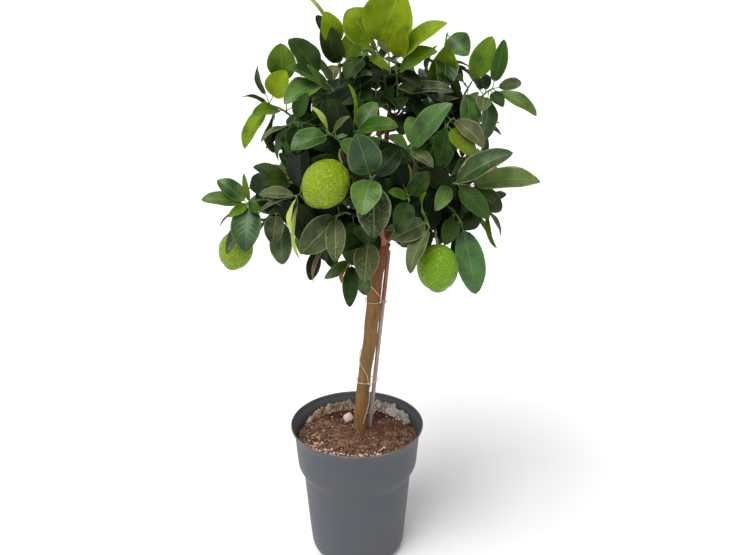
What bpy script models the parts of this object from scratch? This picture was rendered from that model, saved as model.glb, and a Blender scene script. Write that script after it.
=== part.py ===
"""A grafted lime tree on a stem, in a nursery pot with its cane and string.

Run with: blender --background --python part.py
Metres, +Z up, and -Y is the front. The origin is the middle of the pot's flat base, on the ground.
The tree's plan is written in centimetres, the gardener's unit, and CM turns it into metres.
"""

import math
from typing import NamedTuple

import bmesh
import bpy
from mathutils import Matrix, Vector
from mathutils.bvhtree import BVHTree

CM = 0.01
GAP = 0.0003  # left between pieces that touch

# Pot: a thin moulded shell, wide in the collar and stepped in below it. (radius, height) in cm.
POT_OUTLINE = [
    (10.0, 21.4), (9.95, 21.0), (9.45, 19.9), (9.12, 15.4), (8.95, 14.6), (8.4, 13.7), (8.2, 13.1),
    (7.3, 1.7), (7.12, 1.0), (6.8, 0.45), (6.3, 0.15), (5.6, 0.0), (0.0, 0.0),
]
POT_WALL = 0.0013
POT_SIDES = 32
DRAIN_RADIUS = 0.5
DRAIN_CIRCLE = 3.9
DRAIN_COUNT = 4

# Soil: fills the pot and rises a little round the stem. (radius, height) in cm.
SOIL_OUTLINE = [
    (0.0, 19.4), (3.0, 19.25), (6.0, 19.0), (9.12, 18.65), (8.88, 15.6), (7.97, 13.1),
    (7.08, 1.8), (6.85, 1.1), (6.4, 0.65), (5.9, 0.35), (5.4, 0.2), (0.0, 0.2),
]
SOIL_SIDES = 28

# Crusts of old root ball that stand against the pot's wall: from, to (degrees) and the two end heights (cm).
CRUSTS = {"root_crust_right": (24, 76, 0.9, 2.0), "root_crust_left": (92, 154, 1.8, 0.8)}
CRUST_FOOT = 18.9
CRUST_INNER = 8.6
CRUST_OUTER = 9.1

STONE_CENTRE = (-1.4, 3.3, 20.15)
STONE_RADII = (0.75, 0.65, 0.85)

# The stem stands in the soil, leans to the right and forks at the top.
STEM_PATH = [
    (0.4, 1.0, 12.3), (0.4, 1.0, 19.3), (0.7, 1.0, 24.5), (1.0, 1.0, 27.3), (1.4, 0.9, 31.2), (1.9, 0.8, 34.0),
    (2.1, 0.7, 36.8), (2.4, 0.6, 39.4), (2.5, 0.5, 41.5), (2.7, 0.4, 43.8), (3.1, 0.2, 46.6), (3.8, 0.0, 49.5),
]
STEM_RADII = (0.92, 1.05)
FORK = STEM_PATH[-1]

STAKE_FOOT = (1.02, 2.44, 10.3)
STAKE_TOP = (4.6, 1.0, 48.2)
STAKE_RADIUS = 0.32

# The string: out of the soil, round stem and cane, up behind the stem, round both again, and up to a low limb.
STRING_RADIUS = 0.065
STRING_ROUTE = [
    (0.92, 0.04, 21.0), (1.3, -0.02, 22.6), (1.68, -0.06, 24.0), (1.88, -0.1, 25.7), (1.92, -0.14, 27.0),
    (2.12, 0.2, 27.5), (2.45, 0.95, 27.5), (3.0, 1.35, 27.5), (3.22, 1.82, 27.6), (2.85, 2.32, 27.7),
    (2.0, 2.2, 27.8), (1.05, 2.08, 27.85), (0.18, 1.68, 27.85), (-0.05, 1.0, 27.8), (0.22, 0.27, 27.75),
    (0.95, -0.1, 27.75), (1.62, -0.15, 27.85), (1.62, -0.2, 28.6), (1.4, -0.18, 29.4), (0.85, -0.1, 30.4),
    (0.42, 0.28, 31.2), (0.32, 0.95, 31.8), (0.6, 1.7, 32.4), (1.6, 2.02, 33.3), (2.6, 2.05, 34.8),
    (3.15, 2.05, 36.8), (3.7, 2.0, 38.9), (4.25, 1.78, 40.0), (4.47, 1.22, 40.35), (4.12, 0.7, 40.55),
    (3.45, -0.08, 40.62), (2.5, -0.62, 40.65), (1.58, -0.32, 40.7), (1.25, 0.5, 40.75), (1.58, 1.4, 40.8),
    (2.5, 1.75, 40.85), (3.28, 1.45, 40.95), (3.65, 0.55, 41.1), (3.5, -0.14, 41.3), (2.95, -0.78, 42.3),
    (2.1, -0.95, 43.3), (1.2, -1.5, 44.3), (0.35, -2.5, 45.0), (-0.25, -4.0, 45.8), (-0.1, -5.2, 47.3),
    (0.7, -5.4, 49.1), (1.8, -4.9, 50.1), (2.6, -4.2, 50.8),
]

# The main limbs, from the fork. Each has its route in cm and its radius at both ends.
LIMBS = {
    "front": ([FORK, (3.4, -4.0, 51.5), (2.8, -8.0, 54.8), (1.2, -11.8, 59.5), (-0.4, -12.9, 61.9)], (0.55, 0.38)),
    "left": ([FORK, (1.4, -2.0, 51.5), (-2.0, -4.6, 54.5), (-6.0, -8.0, 56.9)], (0.5, 0.24)),
    "left_top": ([FORK, (2.0, -0.5, 54.3), (-1.0, -3.0, 60.3), (-4.0, -5.0, 65.3)], (0.55, 0.24)),
    "top": ([FORK, (3.8, 0.5, 55.3), (4.0, -1.0, 62.3), (4.5, -3.0, 68.3)], (0.6, 0.24)),
    "right": ([FORK, (6.2, -1.2, 51.9), (8.6, -4.6, 54.7), (10.6, -7.6, 57.1)], (0.5, 0.24)),
    "right_top": ([FORK, (5.6, 0.2, 54.3), (8.0, -2.0, 60.3), (10.0, -3.6, 65.3)], (0.55, 0.24)),
    "back_left": ([FORK, (1.5, 3.0, 53.3), (-2.0, 6.6, 57.7), (-3.6, 7.6, 62.3)], (0.5, 0.24)),
    "back_right": ([FORK, (6.2, 3.0, 53.3), (8.8, 5.6, 57.3), (10.0, 6.2, 61.9)], (0.5, 0.24)),
    "back_top": ([FORK, (4.2, 2.6, 56.3), (3.4, 4.6, 62.7), (3.0, 5.4, 67.3)], (0.5, 0.24)),
}
SPUR_RADII = (0.2, 0.15)
TWIG_RADII = (0.15, 0.09)
SPUR_STUB = 0.5  # straight end of a spur, in line with the twig that goes on from it

# Ways that a leaf's upper face can look.
FRONT = (0.0, -1.0, 0.25)
SLOPE = (0.0, -0.75, 0.75)
SKY = (0.0, -0.25, 1.0)
LEFT = (-0.9, -0.45, 0.3)
RIGHT = (0.9, -0.45, 0.3)


class Leaf(NamedTuple):
    """How far along the twig the stalk leaves it, the tip, the width, the face, the age and the stalk, in cm."""

    at: float
    tip: tuple
    width: float
    face: tuple
    age: str
    stalk: float = 0.9


class Shoot(NamedTuple):
    """The limb, how far along it the spur leaves, the twig's two ends, and its leaves."""

    limb: str
    along: float
    root: tuple
    tip: tuple
    leaves: list


SHOOTS = {
    "top_bright": Shoot("top", 1.0, (3.6, -4.0, 72.3), (2.7, -5.0, 75.3), [
        Leaf(1.0, (5.6, -7.5, 81.7), 6.2, FRONT, "young"), Leaf(1.0, (-0.8, -4.8, 79.7), 4.4, FRONT, "young"),
        Leaf(0.8, (1.0, -7.0, 75.3), 1.3, SLOPE, "fresh", 0.5),
    ]),
    "top_middle": Shoot("left_top", 0.9, (-0.5, -5.0, 70.3), (1.5, -5.5, 74.8), [
        Leaf(0.9, (-1.0, -7.5, 71.8), 2.6, SLOPE, "dark", 0.6), Leaf(1.0, (4.0, -7.0, 74.8), 1.4, SLOPE, "fresh", 0.5),
        Leaf(0.6, (4.8, -3.5, 71.8), 1.6, SKY, "dark"), Leaf(0.35, (2.2, -7.0, 72.3), 1.0, SLOPE, "mature", 0.4),
        Leaf(0.2, (2.2, -7.4, 69.3), 2.2, FRONT, "dark", 0.5),
    ]),
    "top_left_inner": Shoot("left_top", 0.85, (-1.7, -2.5, 69.8), (-2.0, -3.0, 75.6), [
        Leaf(0.65, (1.5, -5.0, 77.3), 2.9, FRONT, "fresh"), Leaf(0.5, (-3.7, -4.5, 78.3), 2.7, FRONT, "dark"),
        Leaf(1.0, (-3.4, -5.0, 79.4), 2.7, FRONT, "young", 0.6), Leaf(1.0, (-5.8, -3.5, 81.6), 1.1, RIGHT, "pale"),
        Leaf(1.0, (-4.8, -1.0, 79.3), 1.5, FRONT, "dark"),
    ]),
    "top_left": Shoot("left_top", 0.95, (-1.8, -6.0, 69.3), (-4.0, -7.0, 71.8), [
        Leaf(1.0, (-7.5, -8.0, 76.3), 3.2, SLOPE, "dark", 0.7), Leaf(0.3, (-7.7, -9.5, 73.3), 2.4, SLOPE, "mature"),
        Leaf(0.85, (-8.0, -11.0, 69.3), 3.0, SLOPE, "mature", 0.7), Leaf(1.0, (-7.0, -5.5, 74.3), 1.5, FRONT, "fresh"),
    ]),
    "left_top": Shoot("left_top", 1.0, (-7.0, -6.0, 66.6), (-10.5, -7.0, 68.8), [
        Leaf(0.4, (-8.7, -7.0, 75.8), 3.4, FRONT, "fresh", 3.9), Leaf(1.0, (-8.0, -8.5, 72.7), 3.0, FRONT, "young", 1.2),
        Leaf(1.0, (-12.0, -4.5, 73.3), 1.4, LEFT, "dark", 1.4), Leaf(0.9, (-13.8, -5.5, 69.7), 1.2, SKY, "dark", 0.7),
        Leaf(0.55, (-12.0, -9.5, 67.8), 2.0, SLOPE, "fresh", 0.5), Leaf(1.0, (-13.5, -8.5, 63.7), 2.3, (-0.5, -0.85, 0.2), "young", 0.8),
    ]),
    "left_mid": Shoot("left_top", 0.9, (-4.5, -9.0, 66.3), (-7.5, -10.0, 66.8), [
        Leaf(0.9, (-5.2, -10.5, 70.3), 1.7, FRONT, "dark"), Leaf(1.0, (-11.0, -11.0, 64.8), 1.4, SKY, "dusty"),
        Leaf(0.7, (-6.5, -12.5, 63.6), 2.9, FRONT, "dark", 0.6), Leaf(1.0, (-9.6, -7.5, 62.0), 2.0, LEFT, "dark"),
    ]),
    "front_left_high": Shoot("front", 1.0, (-1.0, -13.0, 64.3), (-2.6, -14.5, 66.1), [
        Leaf(1.0, (-6.8, -16.5, 64.6), 3.0, SLOPE, "mature", 0.6), Leaf(1.0, (-4.5, -15.0, 69.1), 0.9, RIGHT, "pale", 0.5),
        Leaf(0.9, (-0.4, -15.5, 68.1), 0.8, SLOPE, "dusty", 0.4), Leaf(0.6, (-3.0, -11.5, 69.8), 2.4, FRONT, "dark"),
    ]),
    "front_high": Shoot("front", 1.0, (0.4, -11.0, 64.1), (0.1, -13.5, 66.3), [
        Leaf(1.0, (-0.2, -15.0, 71.5), 0.9, RIGHT, "young", 0.5), Leaf(1.0, (5.0, -16.0, 67.1), 2.3, SLOPE, "fresh", 0.6),
        Leaf(0.85, (-3.2, -12.6, 66.3), 1.8, FRONT, "mature", 0.5), Leaf(0.6, (2.7, -10.5, 69.3), 2.2, SLOPE, "mature"),
    ]),
    "right_top": Shoot("top", 0.95, (5.5, -5.5, 68.3), (5.0, -6.0, 74.1), [
        Leaf(1.0, (10.8, -8.0, 78.2), 2.9, SLOPE, "young", 0.7), Leaf(0.7, (9.7, -8.7, 75.0), 2.9, SLOPE, "fresh", 0.6),
        Leaf(0.3, (11.7, -9.5, 70.6), 2.0, SLOPE, "dusty", 0.7), Leaf(0.55, (3.4, -5.5, 68.7), 1.4, FRONT, "dark"),
        Leaf(1.0, (5.8, -8.6, 77.6), 2.3, FRONT, "young", 0.6), Leaf(0.5, (7.4, -7.4, 70.2), 2.2, SLOPE, "dusty", 0.5),
    ]),
    "right_top_out": Shoot("right_top", 1.0, (10.6, -3.2, 69.8), (11.4, -4.0, 77.1), [
        Leaf(1.0, (13.8, -6.0, 74.5), 3.0, FRONT, "mature", 0.5), Leaf(0.05, (11.2, -6.8, 75.5), 3.5, FRONT, "young", 0.7),
        Leaf(0.4, (13.8, -2.5, 71.8), 1.8, FRONT, "dark"), Leaf(0.55, (15.0, -2.0, 72.8), 0.9, SKY, "dark"),
    ]),
    "right_mid_top": Shoot("right_top", 0.95, (13.0, -4.2, 67.8), (14.5, -5.0, 71.3), [
        Leaf(1.0, (16.6, -6.0, 76.6), 2.9, FRONT, "fresh", 0.7), Leaf(0.5, (10.6, -8.0, 69.3), 1.7, SLOPE, "dusty"),
        Leaf(0.4, (15.4, -6.5, 67.3), 1.2, FRONT, "dry", 0.5), Leaf(0.8, (12.3, -7.0, 71.9), 1.8, SLOPE, "dark"),
    ]),
    "right_out_top": Shoot("right_top", 0.85, (15.2, -5.2, 68.9), (17.0, -6.0, 70.6), [
        Leaf(1.0, (17.8, -7.4, 76.2), 1.9, FRONT, "fresh"), Leaf(1.0, (20.8, -4.5, 71.3), 1.5, FRONT, "dusty"),
        Leaf(1.0, (22.3, -7.5, 67.6), 1.9, SLOPE, "mature"), Leaf(0.5, (15.4, -8.0, 68.1), 2.0, FRONT, "dusty", 0.5),
        Leaf(0.85, (18.0, -8.0, 68.6), 1.6, FRONT, "dark", 0.5), Leaf(0.6, (16.4, -3.5, 72.3), 1.3, FRONT, "dark", 0.5),
    ]),
    "right_centre": Shoot("right_top", 0.6, (7.0, -12.6, 62.8), (6.5, -14.0, 64.3), [
        Leaf(1.0, (10.8, -16.0, 69.5), 3.2, SLOPE, "glossy", 0.5), Leaf(0.8, (9.0, -16.5, 62.7), 1.5, SLOPE, "dusty", 0.5),
        Leaf(1.0, (4.0, -15.5, 65.9), 1.4, SLOPE, "mature", 0.4), Leaf(0.45, (4.2, -15.0, 63.1), 1.6, FRONT, "dark", 0.4),
    ]),
    "right_shoulder": Shoot("right_top", 0.9, (11.0, -7.6, 65.8), (12.0, -9.0, 67.3), [
        Leaf(1.0, (15.3, -12.0, 64.3), 2.3, SLOPE, "dusty", 0.4), Leaf(0.35, (14.3, -12.0, 63.2), 2.4, FRONT, "fresh"),
        Leaf(0.7, (14.2, -6.5, 64.8), 1.9, RIGHT, "dark"),
    ]),
    "right_out": Shoot("right", 1.0, (10.2, -12.0, 59.6), (13.6, -13.0, 59.9), [
        Leaf(0.45, (18.2, -14.0, 64.0), 3.0, SLOPE, "scorched", 0.6), Leaf(1.0, (22.4, -11.5, 60.3), 3.2, SLOPE, "scorched", 0.7),
        Leaf(1.0, (17.7, -12.5, 56.7), 2.5, FRONT, "dark", 0.5), Leaf(0.6, (15.7, -15.5, 56.5), 2.4, FRONT, "dark", 0.6),
        Leaf(0.35, (9.5, -16.0, 57.6), 1.9, FRONT, "mature", 0.5), Leaf(0.9, (16.0, -9.5, 66.0), 1.8, RIGHT, "dark", 1.6),
    ]),
    "right_low_out": Shoot("right", 0.95, (14.5, -8.4, 57.1), (16.4, -9.2, 56.5), [
        Leaf(1.0, (17.7, -9.8, 51.3), 1.0, LEFT, "fresh"), Leaf(0.9, (18.8, -7.5, 52.3), 1.0, RIGHT, "dusty"),
        Leaf(0.8, (19.2, -7.0, 57.9), 1.3, SLOPE, "dark"),
    ]),
    "right_low": Shoot("right", 0.9, (11.5, -10.2, 56.9), (13.0, -12.2, 55.2), [
        Leaf(1.0, (15.0, -13.5, 46.5), 3.5, FRONT, "glossy", 1.0), Leaf(0.8, (13.0, -10.6, 48.6), 2.1, FRONT, "dark"),
        Leaf(0.5, (10.8, -13.6, 52.7), 2.2, FRONT, "dark"),
    ]),
    "right_lime_shoot": Shoot("right", 0.8, (8.2, -13.0, 56.5), (8.8, -16.0, 55.5), [
        Leaf(1.0, (6.4, -18.6, 50.9), 2.2, (-0.6, -0.75, 0.3), "dusty", 0.4), Leaf(0.65, (4.4, -17.2, 54.5), 2.6, FRONT, "dusty", 0.4),
        Leaf(0.5, (5.6, -14.8, 52.9), 1.9, FRONT, "mature"), Leaf(0.4, (8.0, -17.5, 59.9), 1.2, LEFT, "fresh", 0.5),
    ]),
    "centre_right": Shoot("right", 0.6, (6.0, -12.6, 59.3), (6.5, -15.0, 58.5), [
        Leaf(1.0, (4.9, -17.2, 55.1), 2.4, FRONT, "dark", 0.4), Leaf(0.5, (6.4, -15.5, 62.7), 0.8, RIGHT, "young", 0.5),
        Leaf(0.75, (8.6, -15.5, 61.9), 2.2, FRONT, "dark", 0.4), Leaf(0.9, (4.0, -15.8, 59.7), 1.5, SLOPE, "fresh", 0.4),
    ]),
    "centre_front": Shoot("front", 0.7, (2.6, -14.2, 59.5), (2.0, -17.0, 61.6), [
        Leaf(1.0, (0.5, -19.0, 66.5), 3.8, FRONT, "glossy", 0.5), Leaf(0.9, (1.0, -20.3, 58.1), 3.4, SLOPE, "mature", 0.4),
        Leaf(0.5, (2.4, -18.5, 55.0), 3.9, FRONT, "spotted", 0.6), Leaf(0.8, (5.2, -14.0, 64.1), 2.6, FRONT, "dark", 0.5),
    ]),
    "centre_low": Shoot("front", 0.45, (3.6, -9.6, 53.7), (1.7, -12.2, 53.3), [
        Leaf(1.0, (1.3, -15.0, 48.7), 3.1, FRONT, "spotted", 0.6), Leaf(1.0, (-1.4, -14.0, 52.3), 2.0, SLOPE, "dark", 0.5),
    ]),
    "low_front": Shoot("front", 0.3, (2.2, -7.4, 50.7), (-0.4, -10.6, 49.9), [
        Leaf(1.0, (-0.6, -13.0, 44.7), 2.0, FRONT, "dark", 0.7), Leaf(0.7, (1.5, -9.5, 44.9), 2.1, FRONT, "mature"),
        Leaf(1.0, (-1.5, -14.0, 48.2), 1.5, LEFT, "dry", 0.6), Leaf(0.9, (-3.6, -12.6, 48.3), 1.5, FRONT, "mature", 0.6),
    ]),
    "low_left_front": Shoot("front", 0.62, (-0.2, -12.4, 56.3), (-2.0, -15.8, 56.9), [
        Leaf(1.0, (-2.0, -18.2, 52.1), 2.3, FRONT, "spotted", 0.4), Leaf(0.7, (-6.0, -16.6, 52.6), 3.6, FRONT, "dusty", 0.7),
        Leaf(0.9, (-5.0, -15.6, 48.7), 1.0, LEFT, "dry", 3.6),
    ]),
    "left_front": Shoot("left", 0.85, (-5.8, -13.2, 58.3), (-6.3, -17.4, 59.5), [
        Leaf(1.0, (-6.8, -20.0, 56.1), 1.2, LEFT, "pale", 0.4), Leaf(0.9, (-6.2, -19.2, 52.7), 1.0, LEFT, "pale", 1.2),
        Leaf(0.75, (-10.6, -18.5, 57.8), 1.0, SKY, "dusty", 0.4), Leaf(0.9, (-10.6, -16.6, 59.6), 1.5, SLOPE, "dusty", 0.4),
    ]),
    "left_inner": Shoot("left", 0.7, (-4.5, -10.0, 59.3), (-7.5, -12.0, 60.0), [
        Leaf(1.0, (-10.4, -14.0, 60.5), 2.8, SLOPE, "dark", 0.3), Leaf(0.9, (-12.0, -11.0, 61.9), 1.9, SLOPE, "dark"),
        Leaf(0.8, (-10.0, -9.5, 61.9), 0.8, SKY, "dusty"), Leaf(0.6, (-9.0, -9.5, 63.3), 1.4, SLOPE, "dark"),
    ]),
    "left_shoot": Shoot("left", 1.0, (-9.0, -12.0, 57.8), (-12.0, -16.0, 58.3), [
        Leaf(1.0, (-15.4, -15.5, 61.0), 2.2, SLOPE, "mature", 0.6), Leaf(0.95, (-12.1, -17.0, 61.9), 0.7, FRONT, "fresh", 0.4),
        Leaf(1.0, (-17.0, -17.0, 59.1), 1.9, SLOPE, "mature", 0.8), Leaf(1.0, (-12.0, -19.0, 53.5), 3.5, FRONT, "glossy", 0.4),
        Leaf(1.0, (-13.9, -18.0, 57.3), 1.1, FRONT, "fresh", 0.3), Leaf(0.9, (-15.1, -17.5, 56.2), 0.8, LEFT, "dusty"),
        Leaf(0.9, (-10.6, -18.0, 57.8), 1.2, FRONT, "fresh", 0.3), Leaf(0.9, (-14.2, -18.8, 53.2), 1.4, FRONT, "dusty", 2.6),
    ]),
    "left_low": Shoot("left", 0.8, (-7.0, -9.2, 55.5), (-9.4, -12.0, 56.3), [
        Leaf(1.0, (-9.6, -14.2, 53.1), 2.4, FRONT, "dusty", 0.4), Leaf(0.75, (-9.0, -11.6, 49.7), 2.8, FRONT, "scorched", 1.2),
    ]),
    "low_left_back": Shoot("left", 0.45, (-3.6, -5.2, 52.9), (-4.6, -8.0, 51.5), [
        Leaf(1.0, (-5.8, -8.6, 46.7), 1.8, FRONT, "dark"), Leaf(0.6, (-2.4, -8.4, 48.1), 1.8, FRONT, "dark"),
    ]),
}

# Shoots of the back, the sides and the shaded middle, whose leaves follow the spiral that a twig grows them on:
# the limb, how far along it, the twig's two ends, how many leaves, their length and their width.
SPIRAL_SHOOTS = {
    "back_low_left": ("back_left", 0.4, (-4.0, 6.6, 52.3), (-8.2, 11.4, 50.9), 6, 7.4, 3.4),
    "back_low_middle": ("back_left", 0.25, (1.2, 7.0, 51.7), (-0.4, 13.0, 49.9), 6, 7.4, 3.4),
    "back_low_right": ("back_right", 0.3, (6.8, 7.0, 52.3), (10.4, 12.0, 50.9), 6, 7.4, 3.3),
    "right_low_side": ("right", 0.5, (9.8, 1.4, 54.3), (14.2, 3.6, 53.9), 6, 7.0, 3.2),
    "back_left_middle": ("back_left", 0.7, (-5.0, 8.0, 56.7), (-8.0, 12.8, 56.7), 6, 7.4, 3.4),
    "back_middle": ("back_left", 0.55, (-0.6, 9.4, 56.7), (-1.6, 15.4, 57.3), 7, 7.4, 3.4),
    "back_right_middle": ("back_right", 0.6, (7.0, 9.4, 56.7), (8.2, 15.2, 57.5), 7, 7.4, 3.4),
    "right_side": ("back_right", 0.7, (11.6, 4.6, 58.7), (16.0, 7.0, 59.7), 6, 7.2, 3.3),
    "back_left_high": ("back_left", 1.0, (-3.6, 8.6, 63.3), (-5.4, 13.0, 65.9), 6, 7.0, 3.2),
    "back_high": ("back_top", 0.7, (1.6, 8.6, 63.9), (0.8, 14.4, 66.3), 7, 7.2, 3.3),
    "back_right_high": ("back_right", 1.0, (9.4, 9.0, 63.9), (11.2, 13.4, 65.9), 6, 7.0, 3.2),
    "right_side_high": ("right_top", 0.8, (12.0, 2.4, 63.7), (15.6, 5.0, 65.1), 6, 6.6, 3.0),
    "back_top_left": ("back_top", 0.9, (-1.4, 5.6, 68.3), (-3.8, 8.4, 70.9), 5, 6.4, 2.9),
    "back_top_middle": ("back_top", 1.0, (2.8, 6.4, 69.3), (2.6, 8.8, 73.3), 5, 6.2, 2.9),
    "back_top_right": ("back_top", 0.85, (7.4, 5.6, 68.1), (9.8, 8.0, 71.3), 5, 6.4, 2.9),
    "top_back": ("top", 0.9, (4.6, 1.0, 70.7), (4.4, 3.4, 75.1), 5, 5.8, 2.6),
    "left_side_inner": ("left_top", 0.6, (-3.6, -1.6, 60.7), (-6.0, 0.4, 62.9), 5, 5.6, 2.9),
    "front_inner": ("front", 0.55, (-1.2, -7.6, 57.9), (-2.2, -9.0, 62.3), 5, 5.6, 3.0),
    "right_inner": ("right_top", 0.5, (9.0, -5.6, 59.9), (11.4, -7.0, 62.7), 5, 5.8, 3.0),
    "left_low_side": ("left", 0.55, (-6.4, 1.4, 54.3), (-10.6, 3.4, 55.5), 6, 6.8, 3.2),
    "low_inner": ("left", 0.3, (-0.6, -1.6, 52.1), (-3.2, -2.6, 51.1), 5, 5.6, 2.8),
}
SPIRAL_STEP = math.radians(137.5)
SPIRAL_FIRST = 0.3  # how far along its twig the lowest leaf of a spiral grows

# Every other twig also has shaded leaves, which grow towards the middle of the crown.
CROWN_MIDDLE = Vector((2.0, 0.0, 60.3))
INNER_LEAF_PLACES = (0.2, 0.5, 0.8)
INNER_LEAF_LENGTH = 6.4
INNER_LEAF_WIDTH = 3.0

# Limes: limb, how far along it, the stalk's top, the fruit's middle and lower end, length and width (cm).
LIMES = {
    "lime_front": ("front", 1.0, (-1.5, -15.4, 63.9), (-3.0, -17.0, 60.8), (-5.0, -18.2, 58.5), 5.9, 5.35),
    "lime_left": ("left", 1.0, (-13.0, -14.6, 55.7), (-13.8, -15.4, 52.7), (-14.4, -15.8, 50.7), 4.7, 4.1),
    "lime_right": ("right", 0.9, (9.7, -14.6, 54.2), (10.0, -15.0, 50.4), (10.1, -15.2, 47.6), 5.8, 5.1),
}
LIME_STALK_RADIUS = 0.14
LIME_RINGS = 10
LIME_SIDES = 14

LEAF_RINGS = 5
LEAF_THICKNESS = 0.06
LEAF_STALK_RADIUS = 0.07
LEAF_FOLD = 0.22  # how far the edges rise over the midrib, as a share of the half width
LEAF_ARCH = 0.07  # how far the middle rises over the line from base to tip, as a share of the length
CLEARANCE = 0.045  # kept round a leaf, in cm
# Where a leaf's tip moves, in cm towards its face and to its side, until the leaf is clear of its neighbours.
SHIFTS = [(0, 0), (0.6, 0), (-0.6, 0), (1.2, 0), (-1.2, 0), (0, 0.8), (0, -0.8), (1.8, 0.5), (-1.8, -0.5),
          (1.0, 1.4), (-1.0, -1.4), (2.4, -1.0), (-2.4, 1.0), (0, 2.4), (0, -2.4), (3.0, 0), (-3.0, 0)]

# Colours (linear), roughness and metallic of each material.
FINISHES = {
    "pot_plastic": ((0.105, 0.118, 0.138), 0.55),
    "soil": ((0.1, 0.055, 0.035), 0.95),
    "root_crust": ((0.3, 0.27, 0.22), 0.95),
    "stone": ((0.55, 0.45, 0.38), 0.8),
    "cane": ((0.25, 0.19, 0.16), 0.7),
    "string": ((0.6, 0.5, 0.4), 0.8),
    "bark": ((0.18, 0.1, 0.045), 0.8),
    "lime_skin": ((0.28, 0.42, 0.02), 0.35),
    "young": ((0.25, 0.36, 0.03), 0.4),
    "fresh": ((0.13, 0.24, 0.025), 0.4),
    "mature": ((0.08, 0.17, 0.06), 0.4),
    "glossy": ((0.06, 0.13, 0.05), 0.3),
    "dark": ((0.035, 0.075, 0.022), 0.4),
    "dusty": ((0.12, 0.15, 0.08), 0.6),
    "spotted": ((0.1, 0.14, 0.06), 0.5),
    "scorched": ((0.1, 0.16, 0.07), 0.45),
    "pale": ((0.35, 0.4, 0.14), 0.5),
    "dry": ((0.22, 0.13, 0.06), 0.7),
}


def cm(*point):
    """A point of the plan, in metres."""
    return Vector(point) * CM


def make_material(name):
    colour, roughness = FINISHES[name]
    material = bpy.data.materials.new(name)
    material.use_nodes = True
    shader = material.node_tree.nodes["Principled BSDF"]
    shader.inputs["Base Color"].default_value = (*colour, 1.0)
    shader.inputs["Roughness"].default_value = roughness
    shader.inputs["Metallic"].default_value = 0.0
    return material


def material_of(name):
    return bpy.data.materials.get(name) or make_material(name)


def make_object(name, mesh, collection, finish=None):
    obj = bpy.data.objects.new(name, mesh)
    collection.objects.link(obj)
    if finish:
        mesh.materials.append(material_of(finish))
    return obj


def make_helper(name, mesh, collection):
    """A cutter or an operand, left out of renders."""
    helper = make_object(name, mesh, collection)
    helper.hide_render = True
    helper.display_type = "WIRE"
    return helper


def mesh_from(name, build):
    """A mesh made by build(bm) in a new bmesh, with its faces pointing out."""
    bm = bmesh.new()
    build(bm)
    bmesh.ops.recalc_face_normals(bm, faces=bm.faces)
    if bm.calc_volume(signed=True) < 0:
        bmesh.ops.reverse_faces(bm, faces=bm.faces)
    mesh = bpy.data.meshes.new(name)
    bm.to_mesh(mesh)
    bm.free()
    mesh.shade_smooth()
    mesh.set_sharp_from_angle(angle=math.radians(40))
    return mesh


def add_boolean(obj, operation, operands):
    """A live Boolean with a collection of helpers."""
    boolean = obj.modifiers.new(operation.lower(), "BOOLEAN")
    boolean.operation = operation
    boolean.operand_type = "COLLECTION"
    boolean.collection = operands


def smooth_route(points, steps):
    """A Catmull-Rom curve through the points, with the given number of steps in each stretch."""
    points = [Vector(point) for point in points]
    ends = [2 * points[0] - points[1], *points, 2 * points[-1] - points[-2]]
    route = []
    for before, start, end, after in zip(ends, ends[1:], ends[2:], ends[3:]):
        for step in range(steps):
            t = step / steps
            route.append(
                0.5 * (2 * start + (end - before) * t + (2 * before - 5 * start + 4 * end - after) * t**2
                       + (3 * start - before - 3 * end + after) * t**3)
            )
    return [*route, points[-1]]


def tube_mesh(name, points, radii, sides):
    """A capped tube along points in cm, tapering between two radii, made from a bevelled curve."""
    curve = bpy.data.curves.new(name, "CURVE")
    curve.dimensions = "3D"
    curve.bevel_depth = CM
    curve.bevel_resolution = (sides - 4) // 2
    curve.use_fill_caps = True
    spline = curve.splines.new("POLY")
    spline.points.add(len(points) - 1)
    for index, point in enumerate(points):
        spline.points[index].co = (*cm(*point), 1.0)
        spline.points[index].radius = radii[0] + (radii[1] - radii[0]) * index / (len(points) - 1)
    holder = bpy.data.objects.new(name, curve)
    bpy.context.scene.collection.objects.link(holder)
    bpy.context.view_layer.update()
    mesh = bpy.data.meshes.new_from_object(holder.evaluated_get(bpy.context.evaluated_depsgraph_get()))
    mesh.transform(holder.matrix_world)
    bpy.data.objects.remove(holder)
    bpy.data.curves.remove(curve)
    bm = bmesh.new()
    bm.from_mesh(mesh)
    bmesh.ops.remove_doubles(bm, verts=bm.verts, dist=1e-6)
    bmesh.ops.recalc_face_normals(bm, faces=bm.faces)
    bm.to_mesh(mesh)
    bm.free()
    mesh.shade_smooth()
    mesh.set_sharp_from_angle(angle=math.radians(50))
    return mesh


def add_turned(name, outline, sides, collection, finish):
    """A profile in the XZ plane, at +X and from top to bottom, turned about Z."""
    bm = bmesh.new()
    verts = [bm.verts.new(cm(radius, 0, height)) for radius, height in outline]
    for start, end in zip(verts, verts[1:]):
        bm.edges.new((start, end))
    mesh = bpy.data.meshes.new(name)
    bm.to_mesh(mesh)
    bm.free()
    obj = make_object(name, mesh, collection, finish)
    screw = obj.modifiers.new("turn", "SCREW")
    screw.axis = "Z"
    screw.steps = sides
    screw.render_steps = sides
    screw.use_merge_vertices = True
    screw.merge_threshold = 0.00001
    screw.use_smooth_shade = True
    return obj


def add_cutters(name, meshes, cutters):
    """A collection of cutters with these meshes."""
    group = bpy.data.collections.new(name)
    cutters.children.link(group)
    for mesh in meshes:
        make_helper(mesh.name, mesh, group)
    return group


def cylinder_mesh(name, centre, radius, low, high, sides=16):
    def build(bm):
        bmesh.ops.create_cone(
            bm, cap_ends=True, segments=sides, radius1=radius * CM, radius2=radius * CM, depth=(high - low) * CM,
            matrix=Matrix.Translation(cm(*centre, (low + high) / 2)),
        )

    return mesh_from(name, build)


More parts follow.
